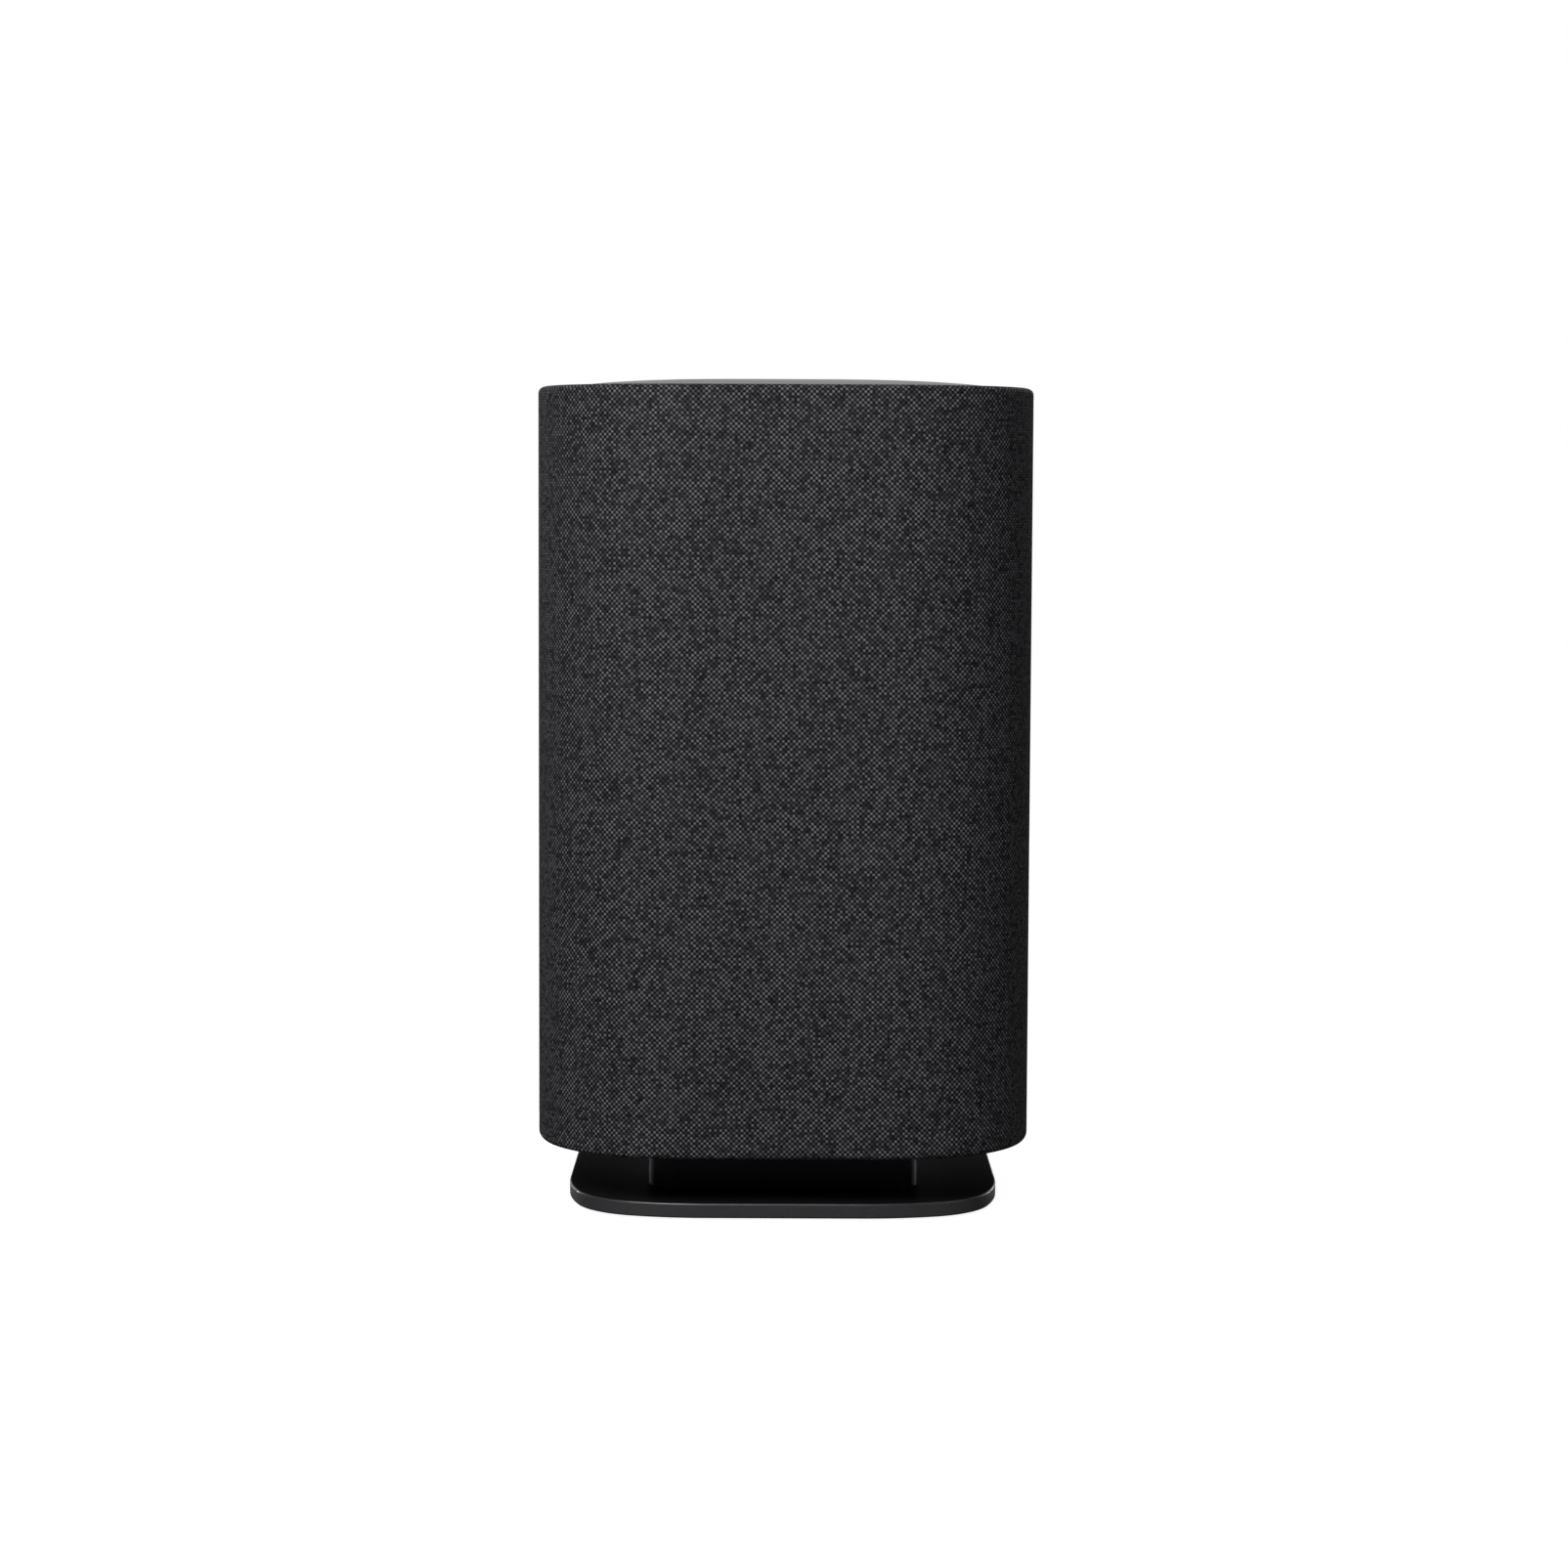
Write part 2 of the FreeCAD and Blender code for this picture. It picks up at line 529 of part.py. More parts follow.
def control_board():
    """The board under the keys, with its lamp on top and microphones and connector below."""
    board = upright_block(CONTROL_W, CONTROL_W, 9.0, CONTROL_Z, CONTROL_TOP)
    extras = [slab((-1.2, -LENS_AT - 1.2, CONTROL_TOP), (1.2, -LENS_AT + 1.2, CONTROL_TOP + 1.1))]
    extras += [slab((x - 1.8, y - 1.3, CONTROL_Z - 1), (x + 1.8, y + 1.3, CONTROL_Z))
               for x, y in four(MIC_AT, MIC_AT)]
    edge = CONTROL_W / 2
    extras.append(slab((-7, edge - 6, CONTROL_Z - 1.6), (7, edge - 1, CONTROL_Z)))
    board = board.fuse(extras).removeSplitter()
    holes = [rod(MIC_HOLE_R, (x, y, CONTROL_Z - 0.5), UP, BOARD_T + 1) for x, y in four(MIC_AT, MIC_AT)]
    holes += [rod(BOARD_SCREW["shank_r"] + 0.1, (x, y, CONTROL_Z - 1), UP, BOARD_T + 2)
              for x, y in four(CONTROL_POST_AT, CONTROL_POST_AT)]
    return board.cut(holes)


def control_tray():
    """The plate that closes the column's top and carries the panel and the control board."""
    tray = body_prism(FRAME_IN + FIT, TRAY_Z, TRAY_TOP)
    tray = tray.fuse([rod(BOARD_POST_R, (x, y, TRAY_TOP), UP, CONTROL_Z - TRAY_TOP)
                      for x, y in four(CONTROL_POST_AT, CONTROL_POST_AT)]).removeSplitter()
    holes = [rod(TOP_SCREW["shank_r"] + FIT, (x, y, TRAY_Z - 1), UP, TRAY_T + 2)
             for x, y in four(PANEL_BOSS_AT, PANEL_BOSS_AT) + TRAY_SCREW_SPOTS]
    holes += [rod(BOARD_SCREW["shank_r"], (x, y, TRAY_Z + 0.5), UP, 10)
              for x, y in four(CONTROL_POST_AT, CONTROL_POST_AT)]
    slot = RIBBON_SLOT_Y
    holes.append(slab((-RIBBON_W / 2 - 2, slot - 3, TRAY_Z - 1), (RIBBON_W / 2 + 2, slot + 3, TRAY_TOP + 1)))
    return tray.cut(holes)


def top_screws():
    """Identical screws: four hold the panel from below, four hold the tray to the sound box."""
    up = [screw((x, y, TRAY_Z), UP, length=TOP_SCREW_L, **TOP_SCREW)
          for x, y in four(PANEL_BOSS_AT, PANEL_BOSS_AT)]
    down = [screw((x, y, TRAY_TOP), DOWN, length=TOP_SCREW_L, **TOP_SCREW) for x, y in TRAY_SCREW_SPOTS]
    return up + down


# ---- sound box ----
BAFFLE_SCREW = {"head_r": 2.4, "head_h": 1.8, "shank_r": 1.4}
BAFFLE_SCREW_L = 12.0
BAFFLE_POST_R, BAFFLE_POST_L = 3.6, 14.0
BOX_POST_R = 4.0                             # posts for the cap's and the tray's screws
BAFFLE_SCREW_X = body_half_width(BOX_IN + BOX_WALL, BOX_FRONT) - BAFFLE_POST_R
BAFFLE_ROWS = 4
BOX_H = BOX_TOP - BOX_Z
WOOFER_R = min(BAFFLE_SCREW_X - BAFFLE_SCREW["head_r"] - DRIVER_GAP, (BOX_H - 2 * TWEETER_R - 3 * EDGE) / 2)
SPARE = (BOX_H - 2 * WOOFER_R - 2 * TWEETER_R) / 3
WOOFER_Z = BOX_Z + SPARE + WOOFER_R
TWEETER_Z = BOX_TOP - SPARE - TWEETER_R
TWEETER_BODY_R = TWEETER_R - 5.5
LEAD_R = 1.2
WOOFER_LEAD_X = WOOFER_R - 1.0
WOOFER_LEAD_Z, TWEETER_LEAD_Z = WOOFER_Z + 36.0, TWEETER_Z - 27.0
REAR_SCREW = {"head_r": 2.2, "head_h": 1.2, "shank_r": 1.3}
REAR_POST_R, REAR_SCREW_IN = 3.2, 3.6
REAR_POST_X = REAR_W / 2 - REAR_SCREW_IN
REAR_POST_Z = [REAR_Z + REAR_SCREW_IN, REAR_Z + REAR_H - REAR_SCREW_IN]


def baffle_screw_spots():
    low, high = BOX_Z + 8.0, BOX_TOP - 8.0
    rows = [low + (high - low) * k / (BAFFLE_ROWS - 1) for k in range(BAFFLE_ROWS)]
    return [(i * BAFFLE_SCREW_X, z) for i in (-1, 1) for z in rows]


def between(solid, front, back):
    """The part of a solid between two depths."""
    return solid.common(slab((-BODY_W, front, 0), (BODY_W, back, 2 * APEX_Z)))


def board_posts():
    """(x, z) of the posts on the sound box's back: four for each board there."""
    return [(x, z) for low, high in (POWER_BOARD_Z, MAIN_BOARD_Z)
            for x in (-WALL_BOARD_W / 2 + 5, WALL_BOARD_W / 2 - 5) for z in (low + 5, high - 5)]


def enclosure():
    """The sealed sound box: open at the front, with bosses and posts for all that it carries."""
    box = between(body_prism(BOX_IN, BOX_Z, BOX_TOP), BOX_FRONT, BOX_BACK)
    hollow = between(body_prism(BOX_IN + BOX_WALL, BOX_Z + BOX_WALL, BOX_TOP - BOX_WALL),
                     BOX_FRONT - 1, BOX_BACK - BOX_WALL)
    posts = []
    for x, z in baffle_screw_spots():
        posts.append(rod(BAFFLE_POST_R, (x, BOX_FRONT, z), BACK, BAFFLE_POST_L))
        inner, outer = sorted((x, math.copysign(BODY_W / 2, x)))
        web = slab((inner, BOX_FRONT, z - 1), (outer, BOX_FRONT + BAFFLE_POST_L, z + 1))
        posts.append(box.common(web))
    posts += [rod(BOX_POST_R, (x, y, BOX_Z + 1), UP, CAP_SCREW_L) for x, y in CAP_SCREW_SPOTS]
    posts += [rod(BOX_POST_R, (x, y, BOX_TOP - BOX_WALL / 2), UP, BOX_HEADROOM + BOX_WALL / 2)
              for x, y in TRAY_SCREW_SPOTS]
    posts += [rod(BOARD_POST_R, (x, BOX_BACK - 1, z), BACK, WALL_BOARD_Y - BOX_BACK + 1)
              for x, z in board_posts()]
    posts += [rod(REAR_POST_R, (i * REAR_POST_X, BOX_BACK - 1, z), BACK, REAR_IN_Y - BOX_BACK + 1)
              for i in (-1, 1) for z in REAR_POST_Z]
    box = box.cut(hollow).fuse(posts).removeSplitter()
    holes = [rod(BAFFLE_SCREW["shank_r"], (x, BOX_FRONT - 1, z), BACK, BAFFLE_SCREW_L)
             for x, z in baffle_screw_spots()]
    holes += [rod(CAP_SCREW["shank_r"], (x, y, BOX_Z - 1), UP, CAP_SCREW_L - CAP_T + 1)
              for x, y in CAP_SCREW_SPOTS]
    holes += [rod(TOP_SCREW["shank_r"], (x, y, TRAY_Z + 1), DOWN, TOP_SCREW_L - TRAY_T + 1)
              for x, y in TRAY_SCREW_SPOTS]
    holes += [rod(NECK_SCREW["shank_r"], (x, y, BOX_Z - 1), UP, BOX_WALL + 1) for x, y in NECK_SCREW_SPOTS
              if y < BOX_BACK]
    holes += [rod(BOARD_SCREW["shank_r"], (x, WALL_BOARD_Y + 1, z), FRONT, 5.0) for x, z in board_posts()]
    holes += [rod(REAR_SCREW["shank_r"], (i * REAR_POST_X, REAR_IN_Y + 1, z), FRONT, 9.0)
              for i in (-1, 1) for z in REAR_POST_Z]
    holes += [rod(PORT_OUT + FIT / 2, (i * PORT_X, PORT_Y, BOX_Z - 1), UP, BOX_WALL + 2) for i in (-1, 1)]
    holes += [rod(LEAD_R + 0.3, (x, BOX_BACK - BOX_WALL - 1, z), BACK, BOX_WALL + 2)
              for x, z in ((WOOFER_LEAD_X, WOOFER_LEAD_Z), (-WOOFER_LEAD_X, TWEETER_LEAD_Z))]
    return box.cut(holes)


def woofer_screw_spots():
    ring = WOOFER_R - WOOFER_LIP / 2
    return [(ring * math.cos(t), WOOFER_Z + ring * math.sin(t))
            for t in (math.radians(45 + 90 * k) for k in range(4))]


def tweeter_screw_spots():
    ring = TWEETER_R - 2.8
    return [(ring * math.cos(t), TWEETER_Z + ring * math.sin(t))
            for t in (math.radians(45 + 90 * k) for k in range(4))]


def front_baffle():
    plate = between(body_prism(BOX_IN, BOX_Z, BOX_TOP), BAFFLE_Y, BAFFLE_BACK)
    holes = [rod(WOOFER_R - WOOFER_LIP + FIT, (0, BAFFLE_Y - 1, WOOFER_Z), BACK, BAFFLE_T + 2),
             rod(TWEETER_BODY_R + FIT, (0, BAFFLE_Y - 1, TWEETER_Z), BACK, BAFFLE_T + 2)]
    holes += [rod(BAFFLE_SCREW["shank_r"] + FIT, (x, BAFFLE_Y - 1, z), BACK, BAFFLE_T + 2)
              for x, z in baffle_screw_spots()]
    holes += [rod(WOOFER_SCREW["shank_r"], (x, BAFFLE_Y - 1, z), BACK, BAFFLE_T + 2)
              for x, z in woofer_screw_spots()]
    holes += [rod(TWEETER_SCREW["shank_r"], (x, BAFFLE_Y - 1, z), BACK, BAFFLE_T + 2)
              for x, z in tweeter_screw_spots()]
    return plate.cut(holes)


def baffle_gasket():
    sheet = between(body_prism(BOX_IN, BOX_Z, BOX_TOP), BAFFLE_BACK, BOX_FRONT)
    inside_x, rim = BAFFLE_SCREW_X - 4.0, 5.0
    holes = [facing_block(2 * inside_x, BOX_H - 2 * rim, 8.0, BAFFLE_Y, BOX_BACK, 0, (BOX_Z + BOX_TOP) / 2)]
    holes += [rod(BAFFLE_SCREW["shank_r"] + FIT, (x, BAFFLE_Y, z), BACK, 10) for x, z in baffle_screw_spots()]
    return sheet.cut(holes)


def baffle_screws():
    return [screw((x, BAFFLE_Y, z), BACK, length=BAFFLE_SCREW_L, **BAFFLE_SCREW)
            for x, z in baffle_screw_spots()]


def damping_pad():
    """A block of wadding against the sound box's back wall."""
    back = BOX_BACK - BOX_WALL
    width = 2 * (PORT_X - PORT_OUT - 4.0)
    height = BOX_H - 2 * BOX_WALL - 40.0
    return facing_block(width, height, 6.0, back - 11.0, back, 0, (BOX_Z + BOX_TOP) / 2 + 8.0)


def bass_ports():
    """Two open tubes that let the sound box breathe through the underside, each with a flared mouth."""
    ports = []
    for side in (-1, 1):
        low = V(side * PORT_X, PORT_Y, FRAME_Z)
        tube_wall = rod(PORT_OUT, low, UP, PORT_L).fuse(
            rod(PORT_OUT + PORT_FLANGE, low + UP * (CAP_T + BOX_WALL), UP, 2.0))
        mouth = Part.makeCone(PORT_R + PORT_FLARE, PORT_R, 2.5, low, UP)
        bore = rod(PORT_R, low - UP, UP, PORT_L + 2).fuse(mouth)
        ports.append(tube_wall.cut(bore).removeSplitter())
    return ports


# ---- woofer ----
WOOFER_SCREW = {"head_r": 2.5, "head_h": 1.6, "shank_r": 1.4}
LIP_Y = BAFFLE_Y - WOOFER_LIP_T              # front of the basket's flange
NECK_Y = LIP_Y + CONE_DEPTH                  # where the cone meets the coil former
SPIDER_Y = NECK_Y + 5.5
BACK_RING_Y = SPIDER_Y + 5.0
TOP_PLATE_Y = BACK_RING_Y + 1.6
MAGNET_Y = TOP_PLATE_Y + PLATE_T
YOKE_Y = MAGNET_Y + MAGNET_T
FORMER_T, WINDING_T, WINDING_L = 0.2, 0.4, 8.0
POLE_R = COIL_R - FORMER_T - COIL_GAP
PLATE_BORE = COIL_R + WINDING_T + COIL_GAP
CONE_R = WOOFER_R - WOOFER_LIP - SURROUND_W
BASKET_WALL = 1.6
LEDGE_R = 22.0


def woofer_basket():
    """A flange, a conical wall with six windows, a ledge for the spider and a ring for the magnet."""
    top, foot = WOOFER_R - WOOFER_LIP, MAGNET_R - 1.0
    wall = turned([(top - BASKET_WALL, BAFFLE_Y), (top - BASKET_WALL, LIP_Y), (WOOFER_R, LIP_Y),
                   (WOOFER_R, BAFFLE_Y)], WOOFER_Z)
    shell = turned([(top - BASKET_WALL, BAFFLE_Y - 1), (top, BAFFLE_Y - 1), (top, BAFFLE_Y),
                    (foot, BACK_RING_Y), (foot, TOP_PLATE_Y), (foot - BASKET_WALL, TOP_PLATE_Y),
                    (foot - BASKET_WALL, BACK_RING_Y), (top - BASKET_WALL, BAFFLE_Y)], WOOFER_Z)
    windows = []
    for k in range(6):
        window = slab((-7, BAFFLE_Y + 4.5, WOOFER_Z), (7, SPIDER_Y - 2, WOOFER_Z + WOOFER_R))
        window.rotate(V(0, 0, WOOFER_Z), BACK, 60 * k)
        windows.append(window)
    shell = shell.cut(windows)
    share = (SPIDER_Y - BAFFLE_Y) / (BACK_RING_Y - BAFFLE_Y)
    ledge_out = top + (foot - top) * share
    ledge = turned([(LEDGE_R, SPIDER_Y), (ledge_out - 0.4, SPIDER_Y), (ledge_out - 1.2, SPIDER_Y + 1.4),
                    (LEDGE_R, SPIDER_Y + 1.4)], WOOFER_Z)
    ring = turned([(PLATE_BORE + 1, BACK_RING_Y), (foot - 0.5, BACK_RING_Y), (foot - 0.5, TOP_PLATE_Y),
                   (PLATE_BORE + 1, TOP_PLATE_Y)], WOOFER_Z)
    tab = slab((foot - 1, SPIDER_Y - 1.5, WOOFER_Z - 3), (foot + 9, SPIDER_Y, WOOFER_Z + 3))
    basket = wall.fuse([shell, ledge, ring, tab]).removeSplitter()
    return basket.cut([rod(WOOFER_SCREW["shank_r"] + FIT, (x, LIP_Y - 1, z), BACK, WOOFER_LIP_T + 1.5)
                       for x, z in woofer_screw_spots()])


def woofer_top_plate():
    return tube(MAGNET_R - 2, PLATE_BORE, (0, TOP_PLATE_Y, WOOFER_Z), BACK, PLATE_T)


def woofer_magnet():
    return tube(MAGNET_R, PLATE_BORE + 3, (0, MAGNET_Y, WOOFER_Z), BACK, MAGNET_T)


def woofer_yoke():
    disc = rod(MAGNET_R - 1, (0, YOKE_Y, WOOFER_Z), BACK, YOKE_T)
    return disc.fuse(rod(POLE_R, (0, TOP_PLATE_Y, WOOFER_Z), BACK, YOKE_Y - TOP_PLATE_Y)).removeSplitter()


def woofer_cone():
    t = 0.7
    return turned([(CONE_R, LIP_Y), (CONE_R, LIP_Y + t), (COIL_R, NECK_Y + t), (COIL_R, NECK_Y)], WOOFER_Z)


def cone_depth(radius):
    """Where the front of the cone lies at a radius."""
    return LIP_Y + (CONE_R - radius) / (CONE_R - COIL_R) * CONE_DEPTH


def woofer_dust_cap():
    """A shallow dome glued to the cone's front."""
    radius, rise, t = COIL_R + 3.5, 4.5, 0.5
    y = cone_depth(radius)
    ball = (radius ** 2 + rise ** 2) / (2 * rise)
    outer = Part.makeSphere(ball, V(0, y - rise + ball, WOOFER_Z))
    inner = Part.makeSphere(ball - t, V(0, y - rise + ball, WOOFER_Z))
    return outer.cut(inner).common(rod(radius, (0, y - rise - 1, WOOFER_Z), BACK, rise + 1))


def voice_coil():
    """The former, from the cone into the magnet's gap, with its winding."""
    start = TOP_PLATE_Y + PLATE_T / 2 - WINDING_L / 2
    end = start + WINDING_L
    former = tube(COIL_R, COIL_R - FORMER_T, (0, NECK_Y, WOOFER_Z), BACK, end - NECK_Y)
    return former.fuse(tube(COIL_R + WINDING_T, COIL_R - FORMER_T / 2, (0, start, WOOFER_Z), BACK, WINDING_L))


def woofer_surround():
    """A rubber half roll between the cone's edge and the basket's flange."""
    t, middle, roll = 0.6, CONE_R + SURROUND_W / 2, SURROUND_W / 2
    front = LIP_Y - t
    steps = [math.pi * k / 12 for k in range(13)]
    outer = [(middle + roll * math.cos(s), front - roll * math.sin(s)) for s in steps]
    inner = [(middle + (roll - t) * math.cos(s), front - (roll - t) * math.sin(s)) for s in reversed(steps)]
    flats = [tube(high, low, (0, front, WOOFER_Z), BACK, t)
             for low, high in ((CONE_R - 2.0, CONE_R + t),
                               (CONE_R + SURROUND_W - t, CONE_R + SURROUND_W + SURROUND_GLUE))]
    return turned(outer + inner, WOOFER_Z).fuse(flats).removeSplitter()


def woofer_spider():
    """A corrugated disc that centres the coil former on the basket's ledge."""
    t, waves = 0.5, 4
    inside, outside = COIL_R, LEDGE_R + 3.0
    count = 8 * waves
    line = [(inside + (outside - inside) * k / count,
             SPIDER_Y - t - (0.8 * abs(math.sin(math.pi * waves * k / count)) if k < count - 6 else 0))
            for k in range(count + 1)]
    return turned(line + [(r, y + t) for r, y in reversed(line)], WOOFER_Z)


def woofer_screws():
    return [screw((x, LIP_Y, z), BACK, length=WOOFER_LIP_T + BAFFLE_T, **WOOFER_SCREW)
            for x, z in woofer_screw_spots()]


# ---- tweeter ----
TWEETER_SCREW = {"head_r": 2.0, "head_h": 1.2, "shank_r": 1.1}
TWEETER_LIP_Y = BAFFLE_Y - 2.0
TWEETER_DOME_Y = TWEETER_LIP_Y + 1.0         # rim of the dome


def tweeter_plate():
    """The face plate, with a shallow horn round the dome."""
    throat, mouth = TWEETER_DOME_R + 1.0, TWEETER_R - 5.5
    plate = turned([(throat, TWEETER_DOME_Y), (mouth, TWEETER_LIP_Y), (TWEETER_R, TWEETER_LIP_Y),
                    (TWEETER_R, BAFFLE_Y), (throat, BAFFLE_Y)], TWEETER_Z)
    return plate.cut([rod(TWEETER_SCREW["shank_r"] + FIT, (x, BAFFLE_Y - 4, z), BACK, 6)
                      for x, z in tweeter_screw_spots()])


def tweeter_magnet():
    """The magnet pot, with the ring-shaped gap that the dome's coil moves in."""
    pot = rod(TWEETER_BODY_R, (0, BAFFLE_Y, TWEETER_Z), BACK, TWEETER_DEPTH)
    gap = tube(TWEETER_DOME_R + 0.5, TWEETER_DOME_R - 1.0, (0, BAFFLE_Y - 1, TWEETER_Z), BACK, 7.0)
    return pot.cut(gap)


def tweeter_dome():
    """A soft dome with its coil former."""
    rise, t = 4.0, 0.4
    ball = (TWEETER_DOME_R ** 2 + rise ** 2) / (2 * rise)
    centre = V(0, TWEETER_DOME_Y - rise + ball, TWEETER_Z)
    cap = Part.makeSphere(ball, centre).cut(Part.makeSphere(ball - t, centre))
    cap = cap.common(rod(TWEETER_DOME_R, (0, TWEETER_DOME_Y - rise - 1, TWEETER_Z), BACK, rise + 1))
    former = tube(TWEETER_DOME_R, TWEETER_DOME_R - 0.5, (0, TWEETER_DOME_Y - 0.5, TWEETER_Z), BACK, 5.0)
    return cap.fuse(former).removeSplitter()


def tweeter_screws():
    return [screw((x, TWEETER_LIP_Y, z), BACK, length=5.0, **TWEETER_SCREW) for x, z in tweeter_screw_spots()]


# ---- electronics ----
WALL_BOARD_W = 84.0
WALL_BOARD_GAP = 6.0
MAIN_BOARD_Z = (REAR_Z + REAR_H + WALL_BOARD_GAP + 6.0, BOX_TOP - 4.0)
POWER_BOARD_Z = (BOX_Z + 8.0, MAIN_BOARD_Z[0] - WALL_BOARD_GAP)
WALL_BOARD_BACK = WALL_BOARD_Y + BOARD_T
SINK_W, SINK_H, SINK_BASE, SINK_FIN_H, SINK_FINS = 46.0, 34.0, 2.5, 10.0, 9
CHIP_T = 2.0
IO_W = 33.0
IO_CLEAR = 4.0                               # power board's parts to the socket board


def wall_board(low, high, blocks):
    """A board on the sound box's back, with its parts on the rear face as (x, z, width, height, depth)."""
    board = facing_block(WALL_BOARD_W, high - low, 3.0, WALL_BOARD_Y, WALL_BOARD_BACK, 0, (low + high) / 2)
    parts = [slab((x - w / 2, WALL_BOARD_BACK, z - h / 2), (x + w / 2, WALL_BOARD_BACK + d, z + h / 2))
             for x, z, w, h, d in blocks]
    board = board.fuse(parts).removeSplitter()
    holes = [rod(BOARD_SCREW["shank_r"] + 0.1, (x, WALL_BOARD_Y - 1, z), BACK, BOARD_T + 2)
             for x, z in board_posts() if low < z < high]
    holes += [rod(REAR_POST_R + 0.5, (side * REAR_POST_X, WALL_BOARD_Y - 1, z), BACK, BOARD_T + 2)
              for side in (-1, 1) for z in REAR_POST_Z]
    return board.cut(holes)


def main_board():
    low, high = MAIN_BOARD_Z
    middle = (low + high) / 2
    blocks = [(0, middle, 16, 16, CHIP_T), (-14, middle + 6, 9, 9, CHIP_T), (14, middle + 6, 9, 9, CHIP_T),
              (-30, middle - 8, 14, 20, 2.4), (30, middle - 14, 10, 14, 1.2), (0, high - 7, 14, 5, 1.6),
              (30, low + 14, 12, 6, 5.0), (-31, high - 22, 12, 6, 5.0)]
    return wall_board(low, high, blocks)


def power_board():
    low, high = POWER_BOARD_Z
    room = IO_Y - BOARD_T - IO_CLEAR - WALL_BOARD_BACK
    blocks = [(-24, low + 26, 26, 24, 12), (18, high - 26, 22, 14, 9), (-26, high - 22, 12, 16, 10),
              (28, low + 16, 12, 12, 11), (6, low + 14, 10, 8, 6)]
    return wall_board(low, high, [(x, z, w, h, min(d, room)) for x, z, w, h, d in blocks])


def heat_sink():
    """A finned block that lies on the amplifier and processor chips."""
    z = sum(MAIN_BOARD_Z) / 2
    y = WALL_BOARD_BACK + CHIP_T
    base = slab((-SINK_W / 2, y, z - SINK_H / 2), (SINK_W / 2, y + SINK_BASE, z + SINK_H / 2))
    pitch = (SINK_W - 2.0) / (SINK_FINS - 1)
    top = y + SINK_BASE + SINK_FIN_H
    fins = [slab((x, y + SINK_BASE / 2, z - SINK_H / 2), (x + 2.0, top, z + SINK_H / 2))
            for x in (-SINK_W / 2 + k * pitch for k in range(SINK_FINS))]
    return base.fuse(fins).removeSplitter()


def wifi_antennas():
    """Two flat aerials stuck under the tray, above the electronics bay."""
    return [slab((x - 12, BOX_BACK + 8, TRAY_Z - 0.4), (x + 12, BOX_BACK + 20, TRAY_Z)) for x in (-24, 24)]


def control_ribbon():
    """The flat cable from the control board's connector, through the tray's slot, to the main board."""
    start = CONTROL_W / 2 - 1.0
    over = CONTROL_Z - 0.9
    end_z = MAIN_BOARD_Z[1] - 7.0
    return ribbon([(start, over), (RIBBON_SLOT_Y, over), (RIBBON_SLOT_Y, end_z),
                   (WALL_BOARD_BACK + 1.6, end_z)], RIBBON_W, RIBBON_T)


def driver_leads():
    """The two-core leads from the main board through the sound box's back wall to the two drivers."""
    x, z = WOOFER_LEAD_X, WOOFER_LEAD_Z
    tab_x = MAGNET_R + 5.0
    woofer = [(x, WALL_BOARD_Y, z), (x, BOX_BACK - 18, z), (x - 2, YOKE_Y + 12, z - 16),
              (tab_x, YOKE_Y - 2, WOOFER_Z), (tab_x, SPIDER_Y, WOOFER_Z)]
    pot = BAFFLE_Y + TWEETER_DEPTH
    x, z = -WOOFER_LEAD_X, TWEETER_LEAD_Z
    tweeter = [(x, WALL_BOARD_Y, z), (x, BOX_BACK - 18, z), (x + 12, BOX_BACK - 36, z + 14),
               (-8, pot + 14, TWEETER_Z), (-8, pot, TWEETER_Z)]
    return [lead(woofer, LEAD_R), lead(tweeter, LEAD_R)]


def board_screws():
    """Identical small screws: four in the control board, four in each wall board, two in the socket board."""
    spots = [((x, y, CONTROL_TOP), DOWN) for x, y in four(CONTROL_POST_AT, CONTROL_POST_AT)]
    spots += [((x, WALL_BOARD_BACK, z), FRONT) for x, z in board_posts()]
    spots += [((x, IO_Y - BOARD_T, z), BACK) for x, z in io_posts()]
    return [screw(start, along, length=BOARD_T + 2.5, **BOARD_SCREW) for start, along in spots]


# ---- rear panel ----
def io_posts():
    """(x, z) of the two posts that hold the socket board to the rear panel."""
    return [(0, REAR_Z + 4.0), (0, REAR_Z + REAR_H - 4.0)]


